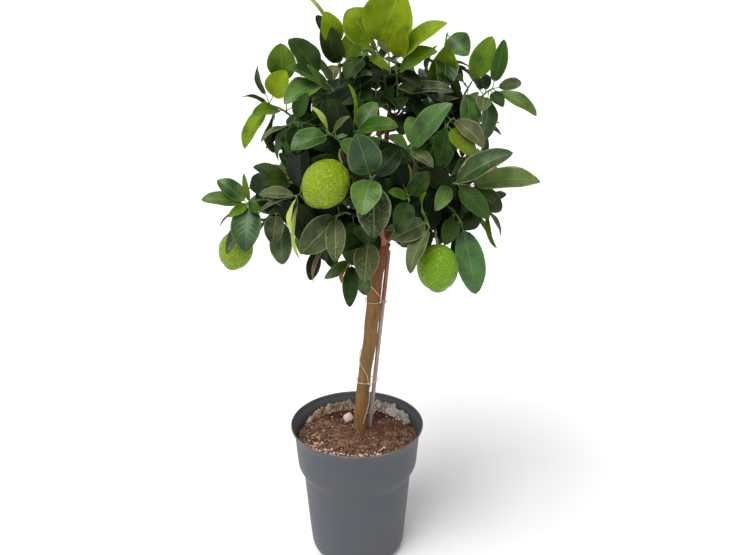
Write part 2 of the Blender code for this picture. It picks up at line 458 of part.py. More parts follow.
def add_pot(parts, cutters):
    pot = add_turned("pot", POT_OUTLINE, POT_SIDES, parts, "pot_plastic")
    shell = pot.modifiers.new("wall", "SOLIDIFY")
    shell.thickness = POT_WALL
    shell.offset = -1.0
    angles = [math.tau * (index + 0.5) / DRAIN_COUNT for index in range(DRAIN_COUNT)]
    holes = [
        cylinder_mesh(f"drain_{index}", (DRAIN_CIRCLE * math.cos(angle), DRAIN_CIRCLE * math.sin(angle)),
                      DRAIN_RADIUS, -0.5, 0.5)
        for index, angle in enumerate(angles)
    ]
    add_boolean(pot, "DIFFERENCE", add_cutters("drain_holes", holes, cutters))


def add_soil(parts, cutters):
    soil = add_turned("soil", SOIL_OUTLINE, SOIL_SIDES, parts, "soil")
    room = GAP / CM
    foot = STEM_PATH[0]
    stem_hole = cylinder_mesh("stem_hole", foot[:2], STEM_RADII[0] + 1.5 * room, foot[2] - room, 22.3)
    lean = (Vector(STAKE_TOP) - Vector(STAKE_FOOT)).normalized()
    low = Vector(STAKE_FOOT) - lean * room
    cane_hole = tube_mesh("cane_hole", [low, low + lean * 11], (STAKE_RADIUS + room,) * 2, 10)
    add_boolean(soil, "DIFFERENCE", add_cutters("soil_holes", [stem_hole, cane_hole], cutters))


def add_crusts(parts):
    """Each crust is a box bent round the wall, with its top falling from one end to the other."""
    for name, (first, last, first_height, last_height) in CRUSTS.items():
        def build(bm):
            bmesh.ops.create_cube(bm, size=1.0)
            long_edges = [edge for edge in bm.edges if abs(edge.verts[0].co.x - edge.verts[1].co.x) > 0.5]
            bmesh.ops.subdivide_edges(bm, edges=long_edges, cuts=9)
            for vert in bm.verts:
                along = vert.co.x + 0.5
                angle = math.radians(first + (last - first) * along)
                radius = CRUST_INNER + (CRUST_OUTER - CRUST_INNER) * (vert.co.y + 0.5)
                ragged = 0.15 * math.sin(17 * along)
                height = (first_height + (last_height - first_height) * along + ragged) * (vert.co.z + 0.5)
                vert.co = cm(radius * math.cos(angle), radius * math.sin(angle), CRUST_FOOT + height)

        make_object(name, mesh_from(name, build), parts, "root_crust")


def add_stone(parts):
    def build(bm):
        bmesh.ops.create_uvsphere(bm, u_segments=12, v_segments=8, radius=1.0)
        bmesh.ops.scale(bm, vec=cm(*STONE_RADII), verts=bm.verts)
        bmesh.ops.translate(bm, vec=cm(*STONE_CENTRE), verts=bm.verts)

    make_object("stone", mesh_from("stone", build), parts, "stone")


def along_route(route, fraction):
    """The point at a fraction of a route's length."""
    route = [Vector(point) for point in route]
    spans = [(end - start).length for start, end in zip(route, route[1:])]
    left = fraction * sum(spans)
    for start, end, span in zip(route, route[1:], spans):
        if left <= span:
            return start.lerp(end, left / span)
        left -= span
    return route[-1]


def twig_route(root, tip):
    """A twig rises a little in its middle."""
    root, tip = Vector(root), Vector(tip)
    middle = (root + tip) / 2 + Vector((0, 0, 0.08 * (tip - root).length))
    return smooth_route([root, middle, tip], 2)


def spur_route(limb, fraction, joint, heading):
    """From a limb's middle to just short of the joint, ending in line with what goes on from there."""
    heading = Vector(heading).normalized()
    end = Vector(joint) - heading * (GAP / CM)
    start = along_route(smooth_route(LIMBS[limb][0], 4), fraction)
    stub = end - heading * SPUR_STUB
    reach = (stub - start).length
    side = Vector((0, 0, 0.1 * reach))
    bend = start.lerp(stub, 0.55) - side
    return [start, bend, stub, end] if reach > 1.2 else [start, stub, end]


def wood_meshes():
    """The limbs and spurs, by name."""
    meshes = {}
    for name, (points, radii) in LIMBS.items():
        meshes["limb_" + name] = tube_mesh("limb_" + name, smooth_route(points, 2), radii, 6)
    for name, shoot in all_shoots().items():
        route = twig_route(shoot.root, shoot.tip)
        path = spur_route(shoot.limb, shoot.along, shoot.root, route[1] - route[0])
        meshes["spur_" + name] = tube_mesh("spur_" + name, path, SPUR_RADII, 6)
    for name, (limb, fraction, top, middle, *_) in LIMES.items():
        path = spur_route(limb, fraction, top, Vector(middle) - Vector(top))
        meshes["spur_" + name] = tube_mesh("spur_" + name, path, SPUR_RADII, 6)
    return meshes


def spiral_leaves(root, tip, count, length, width):
    """Leaves set round a twig, each 137.5 degrees on from the last, opening less towards the tip."""
    route = twig_route(root, tip)
    axis = (Vector(tip) - Vector(root)).normalized()
    side = axis.orthogonal().normalized()
    leaves = []
    for index in range(count):
        grown = index / (count - 1)
        at = SPIRAL_FIRST + (1 - SPIRAL_FIRST) * grown
        turn = Matrix.Rotation(index * SPIRAL_STEP, 3, axis)
        opening = math.radians(62 - 34 * grown)
        heading = axis * math.cos(opening) + (turn @ side) * math.sin(opening)
        reach = length * (1.05 - 0.25 * grown)
        end = along_route(route, at) + heading * reach - Vector((0, 0, 0.06 * reach))
        face = axis * 0.5 + Vector((0, 0, 1.0))
        age = ("dark", "mature", "dark", "dusty", "dark", "glossy", "fresh")[index]
        leaves.append(Leaf(at, tuple(end), width * (1.05 - 0.2 * grown), tuple(face), age))
    return leaves


def inner_leaves(root, tip):
    """Shaded leaves that grow from a twig towards the middle of the crown and face out of it."""
    route = twig_route(root, tip)
    leaves = []
    for index, at in enumerate(INNER_LEAF_PLACES):
        base = along_route(route, at)
        inward = (CROWN_MIDDLE - base).normalized()
        turn = Matrix.Rotation(index * SPIRAL_STEP + base.z, 3, inward)
        heading = (inward * 0.7 + turn @ inward.orthogonal().normalized()).normalized()
        face = Vector((0, 0, 0.9)) - inward
        end = base + heading * INNER_LEAF_LENGTH
        leaves.append(Leaf(at, tuple(end), INNER_LEAF_WIDTH, tuple(face), "dark", 1.0))
    return leaves


def all_shoots():
    """The shoots of the plan, with the leaves that follow a rule worked out."""
    shoots = {name: shoot._replace(leaves=shoot.leaves + inner_leaves(shoot.root, shoot.tip))
              for name, shoot in SHOOTS.items()}
    for name, (limb, along, root, tip, count, length, width) in SPIRAL_SHOOTS.items():
        shoots[name] = Shoot(limb, along, root, tip, spiral_leaves(root, tip, count, length, width))
    return shoots


def leaf_frame(base, tip, face):
    """The leaf's length, and the directions along it, across it and out of its upper face."""
    axis = (tip - base).normalized()
    across = axis.cross(Vector(face)).normalized()
    return (tip - base).length, axis, across, across.cross(axis)


def leaf_bmesh(bm, base, tip, leaf, room=0.0):
    """A leaf from a sphere of few faces: its poles are the stalk's foot and the tip, and its section is a thin V."""
    bmesh.ops.create_uvsphere(bm, u_segments=4, v_segments=LEAF_RINGS, radius=1.0)
    length, axis, across, out = leaf_frame(base, tip, leaf.face)
    stalk = min(leaf.stalk, 0.55 * length)
    for vert in bm.verts:
        ring = round(LEAF_RINGS * (1 - math.acos(max(-1.0, min(1.0, vert.co.z))) / math.pi))
        if ring <= 1:
            place = stalk * ring
            half_width = half_thickness = LEAF_STALK_RADIUS + room
            fold = arch = 0.0
        else:
            grown = (ring - 1) / (LEAF_RINGS - 1)
            place = stalk + (length - stalk) * grown
            half_width = leaf.width / 2 * max(0.0, math.sin(math.pi * grown**0.85)) ** 0.68 + room
            half_thickness = LEAF_THICKNESS + room
            fold = LEAF_FOLD * half_width
            arch = LEAF_ARCH * length * math.sin(math.pi * grown)
        if ring in (0, LEAF_RINGS):
            x = y = arch = 0.0
            place += (2 * ring / LEAF_RINGS - 1) * room
        else:
            reach = math.hypot(vert.co.x, vert.co.y)
            x, y = vert.co.x / reach, vert.co.y / reach
        point = base + axis * place + across * (x * half_width) + out * (y * half_thickness + abs(x) * fold + arch)
        vert.co = point * CM


def tree_of(bm):
    """The search tree that tells whether two shapes cross."""
    return BVHTree.FromBMesh(bm)


def mesh_tree(mesh):
    bm = bmesh.new()
    bm.from_mesh(mesh)
    tree = tree_of(bm)
    bm.free()
    return tree


def is_clear(base, tip, leaf, placed):
    bm = bmesh.new()
    leaf_bmesh(bm, base, tip, leaf, CLEARANCE)
    tree = tree_of(bm)
    bm.free()
    return not any(tree.overlap(other) for other in placed), tree


def settle_leaf(base, leaf, placed):
    """The leaf's tip where the leaf is clear of what is already placed, and its tree, or None if it never is."""
    planned = Vector(leaf.tip)
    _, _, across, out = leaf_frame(base, planned, leaf.face)
    for towards, sideways in SHIFTS:
        tip = planned + out * towards + across * sideways
        clear, tree = is_clear(base, tip, leaf, placed)
        if clear:
            return tip, tree
    return None, None


def twig_meshes():
    """Each shoot's bare twig, by the shoot's name."""
    return {
        name: tube_mesh("shoot_" + name, twig_route(shoot.root, shoot.tip), TWIG_RADII, 4)
        for name, shoot in all_shoots().items()
    }


def add_shoots(parts, helpers, twigs, placed):
    """Each shoot is a twig joined with its leaves into one solid. placed holds the trees of all the other pieces.

    The planned leaves find their places first, then the ones that follow a rule.
    """
    shoots = all_shoots()
    trees = {name: mesh_tree(mesh) for name, mesh in twigs.items()}
    groups = {}
    grown = {name: [] for name in shoots}
    order = [(name, index) for name, shoot in shoots.items() for index in range(len(shoot.leaves))]
    order.sort(key=lambda entry: entry[0] not in SHOOTS or entry[1] >= len(SHOOTS[entry[0]].leaves))
    for name in shoots:
        groups[name] = bpy.data.collections.new("leaves_" + name)
        helpers.children.link(groups[name])
    for name, index in order:
        leaf = shoots[name].leaves[index]
        others = [tree for twig, tree in trees.items() if twig != name]
        settled = [tree for leaves in grown.values() for tree in leaves if leaves is not grown[name]]
        base = along_route(twig_route(shoots[name].root, shoots[name].tip), min(leaf.at, 0.97))
        tip, tree = settle_leaf(base, leaf, placed + others + settled)
        if tip is None:
            continue
        grown[name].append(tree)
        leaf_mesh = mesh_from("leaf", lambda bm: leaf_bmesh(bm, base, tip, leaf))
        make_helper(f"leaf_{name}_{index}", leaf_mesh, groups[name])
    for name, shoot in shoots.items():
        twig = make_object("shoot_" + name, twigs[name], parts, shoot.leaves[0].age)
        add_boolean(twig, "UNION", groups[name])


def lime_mesh(name, middle, lower, length, width):
    """A fruit from a sphere: fuller above the middle, with a nipple at its lower end."""
    down = (Vector(lower) - Vector(middle)).normalized()
    turn = Vector((0, 0, -1)).rotation_difference(down).to_matrix()

    def build(bm):
        bmesh.ops.create_uvsphere(bm, u_segments=LIME_SIDES, v_segments=LIME_RINGS, radius=0.5)
        for vert in bm.verts:
            place = -2 * vert.co.z
            narrow = 1.0 - 0.1 * place if place < 0 else 1.0 - 0.06 * place
            nipple = 0.05 * max(0.0, place - 0.8) / 0.2
            shaped = Vector((vert.co.x * width * narrow, vert.co.y * width * narrow, vert.co.z * length * (1 + nipple)))
            vert.co = (turn @ shaped + Vector(middle)) * CM

    return mesh_from(name, build)


def add_limes(parts, helpers):
    limes = []
    for name, (_, _, top, middle, lower, length, width) in LIMES.items():
        lime = make_object(name, lime_mesh(name, middle, lower, length, width), parts, "lime_skin")
        inside = Vector(middle).lerp(Vector(top), 0.4)
        stalk = tube_mesh("stalk_of_" + name, [top, Vector(top).lerp(inside, 0.5), inside], (LIME_STALK_RADIUS,) * 2, 6)
        add_boolean(lime, "UNION", add_cutters("stalk_" + name, [stalk], helpers))
        limes += [lime.data, stalk]
    return limes


def main():
    for obj in list(bpy.data.objects):
        bpy.data.objects.remove(obj)
    scene = bpy.context.scene.collection
    parts = bpy.data.collections.new("potted_lime_tree")
    helpers = bpy.data.collections.new("helpers")
    scene.children.link(parts)
    scene.children.link(helpers)

    stake = tube_mesh("stake", [STAKE_FOOT, STAKE_TOP], (STAKE_RADIUS, STAKE_RADIUS), 10)
    string = tube_mesh("string", smooth_route(STRING_ROUTE, 2), (STRING_RADIUS,) * 2, 6)
    stem = tube_mesh("trunk", smooth_route(STEM_PATH, 2), STEM_RADII, 12)
    wood = wood_meshes()
    twigs = twig_meshes()

    make_object("stake", stake, parts, "cane")
    make_object("string", string, parts, "string")
    trunk = make_object("trunk", stem, parts, "bark")
    add_boolean(trunk, "UNION", add_cutters("limbs_and_spurs", wood.values(), helpers))
    limes = add_limes(parts, helpers)
    placed = [mesh_tree(mesh) for mesh in [stake, string, stem, *wood.values(), *limes]]
    add_shoots(parts, helpers, twigs, placed)

    add_pot(parts, helpers)
    add_soil(parts, helpers)
    add_crusts(parts)
    add_stone(parts)


if __name__ == "__main__":
    main()
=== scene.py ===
"""The looks of a potted lime tree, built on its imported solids.

Every piece stands in the frame of the solids: metres, +Z up, -Y the front, with the origin under the middle
of the pot. The plan of the tree is in centimetres, the gardener's unit, and CM turns it into metres.
"""

from __future__ import annotations

import logging
import math
import random
from dataclasses import dataclass, field
from enum import Enum
from functools import cache, partial
from typing import Callable, Iterable, NamedTuple, Protocol, Sequence

import bmesh
import bpy
from mathutils import Matrix, Vector, noise
from mathutils.kdtree import KDTree

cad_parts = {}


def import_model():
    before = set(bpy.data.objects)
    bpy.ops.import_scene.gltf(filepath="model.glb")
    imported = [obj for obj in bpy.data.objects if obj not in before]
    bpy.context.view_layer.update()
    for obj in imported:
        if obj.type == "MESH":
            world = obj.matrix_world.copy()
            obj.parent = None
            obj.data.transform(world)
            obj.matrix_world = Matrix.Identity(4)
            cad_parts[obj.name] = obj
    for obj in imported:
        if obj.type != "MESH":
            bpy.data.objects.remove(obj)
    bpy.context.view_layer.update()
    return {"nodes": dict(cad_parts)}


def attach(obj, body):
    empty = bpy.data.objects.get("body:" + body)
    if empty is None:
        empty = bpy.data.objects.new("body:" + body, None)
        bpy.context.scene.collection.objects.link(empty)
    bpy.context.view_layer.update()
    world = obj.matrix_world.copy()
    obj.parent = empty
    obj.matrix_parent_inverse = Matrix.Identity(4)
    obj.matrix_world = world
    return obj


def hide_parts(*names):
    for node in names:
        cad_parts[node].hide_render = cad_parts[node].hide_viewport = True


LOG = logging.getLogger("lime_tree")
CM = 0.01
BODY = "root"

Point = tuple[float, float, float]
Colour = tuple[float, float, float]
Spot = tuple[float, float]
Layers = tuple[Point, ...]  # layers of noise: each one's height, the size of its bumps in cm, and its seed

UP = Vector((0, 0, 1))
GOLDEN = 0.618  # steps of this share of a turn never fall into a pattern


def paint(red: int, green: int, blue: int) -> Colour:
    """A linear colour from the 0 to 255 values of a colour chart."""

    def linear(value: int) -> float:
        """One channel, from the sRGB curve to linear."""
        share = value / 255
        return share / 12.92 if share <= 0.04045 else ((share + 0.055) / 1.055) ** 2.4

    return linear(red), linear(green), linear(blue)


# Painted shade at the back of the soil, under the pot's back wall: its dark red, and where it begins and is
# whole.
SOIL_SHADE = paint(62, 20, 12)
SOIL_SHADE_BEGINS, SOIL_SHADE_WHOLE = 0.046, 0.058  # how far behind the middle of the pot, in metres
EVEN = (1.0, 1.0, 1.0)


def cm(point: Sequence[float]) -> Vector:
    """A point of the plan, in metres."""
    return Vector(point) * CM


# ------------------------------------------------------------------------------------------
# Finishes
# ------------------------------------------------------------------------------------------


class Num:
    """A number that varies over a surface. Arithmetic on it adds Math nodes to its dress."""

    def __init__(self, dress: Dress, socket: bpy.types.NodeSocket) -> None:
        """Wraps an output socket of a node in the dress."""
        self.dress = dress
        self.socket = socket

    def math(self, operation: str, *values: Num | float) -> Num:
        """The result of a Math node on the values."""
        node = self.dress.node("ShaderNodeMath", {"operation": operation}, dict(enumerate(values)))
        return Num(self.dress, node.outputs[0])

    def __add__(self, other: Num | float) -> Num:
        """self + other."""
        return self.math("ADD", self, other)

    __radd__ = __add__

    def __mul__(self, other: Num | float) -> Num:
        """self * other."""
        return self.math("MULTIPLY", self, other)

    __rmul__ = __mul__

    def __sub__(self, other: Num | float) -> Num:
        """self - other."""
        return self.math("SUBTRACT", self, other)

    def __rsub__(self, other: Num | float) -> Num:
        """other - self."""
        return self.math("SUBTRACT", other, self)

    def __abs__(self) -> Num:
        """The distance from zero."""
        return self.math("ABSOLUTE", self)

    def most(self, other: Num | float) -> Num:
        """The larger of two numbers."""
        return self.math("MAXIMUM", self, other)

    def rise(self, low: float, high: float) -> Num:
        """0 below low and 1 above high, with a smooth step between."""
        sockets = {0: self, 1: low, 2: high, 3: 0.0, 4: 1.0}
        node = self.dress.node("ShaderNodeMapRange", {"interpolation_type": "SMOOTHSTEP"}, sockets)
        return Num(self.dress, node.outputs[0])

    def fall(self, low: float, high: float) -> Num:
        """1 below low and 0 above high, with a smooth step between."""
        return 1.0 - self.rise(low, high)


class Dress:
    """One material, whose nodes are added by calls."""

    def __init__(self, name: str) -> None:
        """Starts a material with a plain shader."""
        self.material = bpy.data.materials.new(name)
        self.material.use_nodes = True
        self.tree = self.material.node_tree
        self.shader = self.tree.nodes["Principled BSDF"]
        self._place: bpy.types.NodeSocket | None = None

    def node(
        self, kind: str, settings: dict[str, object], sockets: dict[int | str, object]
    ) -> bpy.types.Node:
        """Adds a node.

        Args:
            kind: the node's type.
            settings: its settings, which are set first.
            sockets: a value, a Num or an output socket for each input, by its number or name.

        Returns:
            The node.
        """
        node = self.tree.nodes.new(kind)
        for name, value in settings.items():
            setattr(node, name, value)
        for key, value in sockets.items():
            self.feed(node.inputs[key], value)
        return node

    def feed(self, socket: bpy.types.NodeSocket, value: object) -> None:
        """Sets an input socket to a value, or links a Num or an output socket to it."""
        if isinstance(value, Num):
            self.tree.links.new(value.socket, socket)
        elif isinstance(value, bpy.types.NodeSocket):
            self.tree.links.new(value, socket)
        elif socket.type == "RGBA":
            socket.default_value = (*value, 1.0)
        else:
            socket.default_value = value

    def place(self, stretch: Point = EVEN) -> bpy.types.NodeSocket:
        """The point on the object, in metres, with each axis stretched by a factor."""
        if self._place is None:
            self._place = self.node("ShaderNodeTexCoord", {}, {}).outputs["Object"]
        if stretch == EVEN:
            return self._place
        return self.node("ShaderNodeMapping", {}, {"Vector": self._place, "Scale": stretch}).outputs[0]

    def axis(self, index: int) -> Num:
        """The place along the object's x, y or z, in metres. z is the height over the ground."""
        return Num(self, self.node("ShaderNodeSeparateXYZ", {}, {0: self.place()}).outputs[index])

    def back_shade(self) -> Num:
        """1 where shade is painted on the soil at the back, under the pot's back wall, and 0 in front, with a
        broken border.
        """
        away = self.axis(1)
        return (away + (self.noise(70.0, 3.0) - 0.5) * 0.05).rise(SOIL_SHADE_BEGINS, SOIL_SHADE_WHOLE)

    def noise(self, scale: float, detail: float = 2.0, stretch: Point = EVEN, warp: float = 0.0) -> Num:
        """Soft noise from 0 to 1, with scale bumps to the metre."""
        sockets = {"Vector": self.place(stretch), "Scale": scale, "Detail": detail, "Distortion": warp}
        return Num(self, self.node("ShaderNodeTexNoise", {}, sockets).outputs[0])

    def cells(self, scale: float, kind: str = "F1", stretch: Point = EVEN) -> Num:
        """The distance to the nearest of scattered points, or to the nearest border between them."""
        sockets = {"Vector": self.place(stretch), "Scale": scale}
        return Num(self, self.node("ShaderNodeTexVoronoi", {"feature": kind}, sockets).outputs["Distance"])

    def attribute(self, name: str) -> Num:
        """A number kept on the mesh."""
        return Num(self, self.node("ShaderNodeAttribute", {"attribute_name": name}, {}).outputs["Fac"])

    def grid(self, name: str) -> tuple[Num, Num]:
        """The two numbers of a UV map."""
        place = self.node("ShaderNodeUVMap", {"uv_map": name}, {}).outputs[0]
        node = self.node("ShaderNodeSeparateXYZ", {}, {0: place})
        return Num(self, node.outputs[0]), Num(self, node.outputs[1])

    def blend(self, amount: Num | float, first: object, second: object) -> bpy.types.NodeSocket:
        """Mixes two colours."""
        sockets = {0: amount, 6: first, 7: second}
        return self.node("ShaderNodeMix", {"data_type": "RGBA"}, sockets).outputs[2]

    def bump(self, height: Num, depth: float) -> None:
        """Makes the surface look raised by height times depth, in metres."""
        sockets = {"Strength": 1.0, "Distance": depth, "Height": height}
        self.feed(self.shader.inputs["Normal"], self.node("ShaderNodeBump", {}, sockets).outputs[0])

    def finish(self, colour: object, rough: object, **others: object) -> bpy.types.Material:
        """Feeds the shader.

        Args:
            colour: the base colour.
            rough: the roughness.
            others: the shader's other sockets, with _ for each space in the name.

        Returns:
            The finished material.
        """
        self.feed(self.shader.inputs["Base Color"], colour)
        self.feed(self.shader.inputs["Roughness"], rough)
        for name, value in others.items():
            self.feed(self.shader.inputs[name.replace("_", " ")], value)
        return self.material


@dataclass(frozen=True)
class LeafFinish:
    """How a leaf of one age looks.

    The blade's UV map runs from 0 to 1 across the leaf and from 0 at its base to 1 at its tip.
    """

    name: str
    deep: Colour
    light: Colour
    rib: Colour
    gloss: float = 0.38
    rib_strength: float = 0.5
    dust: float = 0.1
    scorch: float = 0.0
    shine: float = 0.3
    pairs: float = 8.0

    def upper(self) -> bpy.types.Material:
        """The glossy upper side, with its ribs, its pale dust and its scorched margin."""
        dress = Dress(f"{self.name}_leaf_upper")
        across, along = self._across_and_along(dress)
        ribs = self._ribs(across, along)
        tint = dress.attribute("tint")
        mottle = dress.noise(60.0, 3.0)
        fine = dress.noise(700.0, 2.0)
        lit = mottle * 1.7 + tint * 0.65 + along * 0.15 - 0.5
        colour = dress.blend(lit.rise(0.3, 1.15), self.deep, self.light)
        olive = (1.16 * self.light[0], 0.9 * self.light[1], 0.7 * self.light[2])
        colour = dress.blend((tint * 3.0).math("FRACT", tint * 3.0).rise(0.45, 1.0) * mottle, colour, olive)
        # Ribs and the margin go towards the rib colour: the pale margin is partly the leaf's own and partly a
        # painted highlight along its rim.
        colour = dress.blend(ribs.most(across.rise(0.86, 1.0) * 1.3) * self.rib_strength, colour, self.rib)
        dots = dress.cells(520.0).fall(0.1, 0.36) * dress.noise(110.0, 1.0).rise(0.66 - self.dust * 0.5, 0.85)
        film = (mottle * 0.5 + fine * 0.5 + ribs * 0.2).rise(0.5, 0.95) * (self.dust * 0.5)
        colour = dress.blend((dots * min(1.0, self.dust * 1.3)).most(film), colour, paint(168, 168, 132))
        colour = self._scorched(dress, colour, across, along, mottle)
        dress.bump(fine * 0.1 - ribs * 0.5 + self._pucker(across, along), 0.00026)
        rough = (film * 0.6 + dots * 0.3 + mottle * 0.12) + self.gloss
        return dress.finish(colour, rough, Specular_IOR_Level=self.shine)

    def under(self) -> bpy.types.Material:
        """The paler, dull underside with its raised ribs. Its pale colour is partly the underside's own and
        partly painted light shining through the leaf.
        """
        dress = Dress(f"{self.name}_leaf_under")
        across, along = self._across_and_along(dress)
        ribs = self._ribs(across, along)
        mottle = dress.noise(80.0, 2.0)
        # Partly painted light: the underside is made brighter to stand for light shining through the leaf.
        pale = tuple(0.8 * value + 0.2 * grey for value, grey in zip(self.light, paint(128, 144, 84)))
        colour = dress.blend(mottle.rise(0.3, 0.8), tuple(0.75 * value for value in pale), pale)
        colour = dress.blend(ribs * 0.4, colour, self.rib)
        colour = self._scorched(dress, colour, across, along, mottle)
        dress.bump(ribs * 0.6 + mottle * 0.3, 0.0004)
        return dress.finish(colour, mottle * 0.15 + 0.5, Specular_IOR_Level=0.5 * self.shine)

    def _across_and_along(self, dress: Dress) -> tuple[Num, Num]:
        """How far a point is from the midrib, from 0 to 1, and how far from the leaf's base."""
        across, along = dress.grid("blade")
        return abs(across * 2.0 - 1.0), along

    def _ribs(self, across: Num, along: Num) -> Num:
        """1 on the midrib, less on the side ribs."""
        sides = self._off_rib(across, along).fall(0.0, 0.07) * across.fall(0.6, 0.95) * 0.22
        return across.fall(0.015, 0.06).most(sides)

    def _pucker(self, across: Num, along: Num) -> Num:
        """How the blade swells between its side ribs."""
        return self._off_rib(across, along).rise(0.0, 0.5) * across.rise(0.05, 0.3) * 0.6

    def _off_rib(self, across: Num, along: Num) -> Num:
        """0 on a side rib and 0.5 halfway to the next. The ribs lean towards the tip."""
        side = (along - across * 0.3) * self.pairs
        return side.math("PINGPONG", side, 0.5)

    def _scorched(self, dress: Dress, colour: object, across: Num, along: Num, mottle: Num) -> object:
        """The colour with a brown margin and tip."""
        if self.scorch == 0.0:
            return colour
        eaten = self.scorch * 0.35
        burn = (across.most(along * 0.99) + (mottle - 0.5) * 0.9).rise(1.07 - eaten, 1.15 - eaten)
        return dress.blend(burn, colour, dress.blend(mottle, paint(104, 82, 56), paint(176, 148, 110)))


@dataclass(frozen=True)
class BarkFinish:
    """Bark that goes from one colour to another up the stem, with long cracks and patches."""

    name: str
    low: Colour
    patch: Colour
    high: Colour
    turn_low: float = 0.403
    turn_high: float = 0.483

    def material(self) -> bpy.types.Material:
        """The bark's material."""
        dress = Dress(self.name)
        height = dress.axis(2)
        broad = dress.noise(70.0, 2.0, (1.0, 1.0, 0.3), 0.4)
        streaks = dress.noise(420.0, 4.0, (1.0, 1.0, 0.12), 0.6)
        colour = dress.blend(broad.rise(0.38, 0.66), self.low, self.patch)
        colour = dress.blend((height + broad * 0.03).rise(self.turn_low, self.turn_high), colour, self.high)
        colour = dress.blend(streaks.rise(0.4, 0.8) * 0.3, colour, paint(66, 46, 30))
        colour = dress.blend(streaks.fall(0.28, 0.46) * 0.15, colour, paint(190, 152, 104))
        specks = dress.cells(900.0, stretch=(1.0, 1.0, 0.5)).fall(0.08, 0.25)
        specks = specks * dress.noise(150.0).rise(0.5, 0.7)
        colour = dress.blend(specks * 0.5, colour, paint(205, 190, 165))
        dress.bump(streaks * 0.6 + broad + specks * 0.3, 0.001)
        return dress.finish(colour, streaks * 0.2 + 0.58, Specular_IOR_Level=0.3)


@dataclass(frozen=True)
class GreenWoodFinish:
    """The green skin of young twigs and stalks."""

    name: str
    young: Colour
    old: Colour

    def material(self) -> bpy.types.Material:
        """The twig's material."""
        dress = Dress(self.name)
        mottle = dress.noise(180.0, 2.0)
        lines = dress.noise(900.0, 2.0, (1.0, 1.0, 0.25))
        colour = dress.blend(mottle.rise(0.35, 0.7), self.young, self.old)
        dress.bump(lines, 0.0004)
        return dress.finish(colour, lines * 0.2 + 0.4)


@dataclass(frozen=True)
class RindFinish:
    """A lime's waxy, pitted rind. The mesh's "reach" runs from 0 at the stalk to 1 at the lower end."""

    name: str
    green: Colour
    bright: Colour
    ripe: Colour

    def material(self) -> bpy.types.Material:
        """The rind's material."""
        dress = Dress(self.name)
        reach, ripeness = dress.attribute("reach"), dress.attribute("tint")
        broad = dress.noise(26.0, 2.0)
        mottle = dress.noise(170.0, 3.0)
        pits = dress.cells(700.0).fall(0.0, 0.45)
        crinkle = dress.cells(250.0, "DISTANCE_TO_EDGE").fall(0.0, 0.22)
        crinkle = crinkle * dress.noise(90.0, 2.0).rise(0.35, 0.6)
        sunned = (broad * 0.9 + mottle * 0.2 + ripeness * 0.4).rise(0.45, 1.0)
        colour = dress.blend(sunned, self.green, self.bright)
        colour = dress.blend(crinkle * (0.25 + 0.35 * ripeness), colour, self.ripe)
        colour = dress.blend(pits * 0.12, colour, tuple(0.6 * value for value in self.green))
        ends = reach.fall(0.0, 0.1).most(reach.rise(0.95, 1.0) * 0.8)
        colour = dress.blend(ends * 0.6, colour, paint(92, 104, 34))
        dress.bump(mottle * 0.8 + crinkle * 0.4 - pits * 0.25, 0.003)
        return dress.finish(colour, pits * 0.15 + 0.33, Specular_IOR_Level=0.28)


@dataclass(frozen=True)
class PlasticFinish:
    """Matt grey moulded plastic with a faint cloudiness, scuffs and dust on the lip."""

    name: str
    body: Colour
    warm: Colour
    lip_height: float

    def material(self) -> bpy.types.Material:
        """The pot's material."""
        dress = Dress(self.name)
        cloud = dress.noise(14.0, 3.0)
        grain = dress.noise(1400.0, 2.0)
        scuffs = dress.noise(60.0, 4.0, (1.0, 1.0, 6.0)).rise(0.6, 0.78)
        colour = dress.blend(cloud.rise(0.35, 0.75) * 0.7, self.body, self.warm)
        colour = dress.blend(scuffs * 0.1, colour, paint(120, 120, 120))
        colour = dress.blend(grain.rise(0.55, 0.8) * 0.12, colour, paint(150, 152, 156))
        lip = (dress.axis(2) + (cloud - 0.5) * 0.004).rise(self.lip_height, self.lip_height + 0.003)
        colour = dress.blend(lip * dress.noise(120.0, 3.0).rise(0.3, 0.6) * 0.8, colour, paint(112, 98, 84))
        dress.bump(grain * 0.25 + cloud * 0.5, 0.0005)
        return dress.finish(colour, cloud * 0.16 + scuffs * 0.1 + 0.42)


@dataclass(frozen=True)
class GroundFinish:
    """Crumbly ground: potting soil, its clods, or the crust of old roots."""

    name: str
    dark: Colour
    mid: Colour
    pale: Colour
    pale_share: float
    crumb: float = 420.0
    # How much of the random red stain, and of the painted shade at the back of the soil, this ground takes.
    stain_and_shade: float = 0.0
    upright: float = 1.0

    def material(self) -> bpy.types.Material:
        """The ground's material."""
        dress = Dress(self.name)
        broad = dress.noise(48.0, 3.0)
        crumbs = dress.cells(self.crumb, stretch=(1.0, 1.0, self.upright))
        fine = dress.noise(1100.0, 3.0, (1.0, 1.0, self.upright))
        colour = dress.blend((crumbs * 0.7 + fine * 0.7).rise(0.3, 0.95), self.dark, self.mid)
        low, high = 0.98 - self.pale_share * 0.4, 1.12 - self.pale_share * 0.3
        colour = dress.blend((fine * 0.8 + broad * 0.7 + crumbs * 0.2).rise(low, high), colour, self.pale)
        colour = dress.blend(dress.noise(22.0, 2.0).rise(0.44, 0.62) * self.stain_and_shade, colour, paint(66, 26, 18))
        colour = dress.blend(dress.attribute("tint") * 0.5, colour, self.mid)
        # Painted shade: the back of the soil, under the pot's back wall, goes dark red.
        colour = dress.blend(dress.back_shade() * self.stain_and_shade, colour, SOIL_SHADE)
        dress.bump(crumbs + fine * 0.8, 0.002)
        return dress.finish(colour, fine * 0.1 + 0.86)


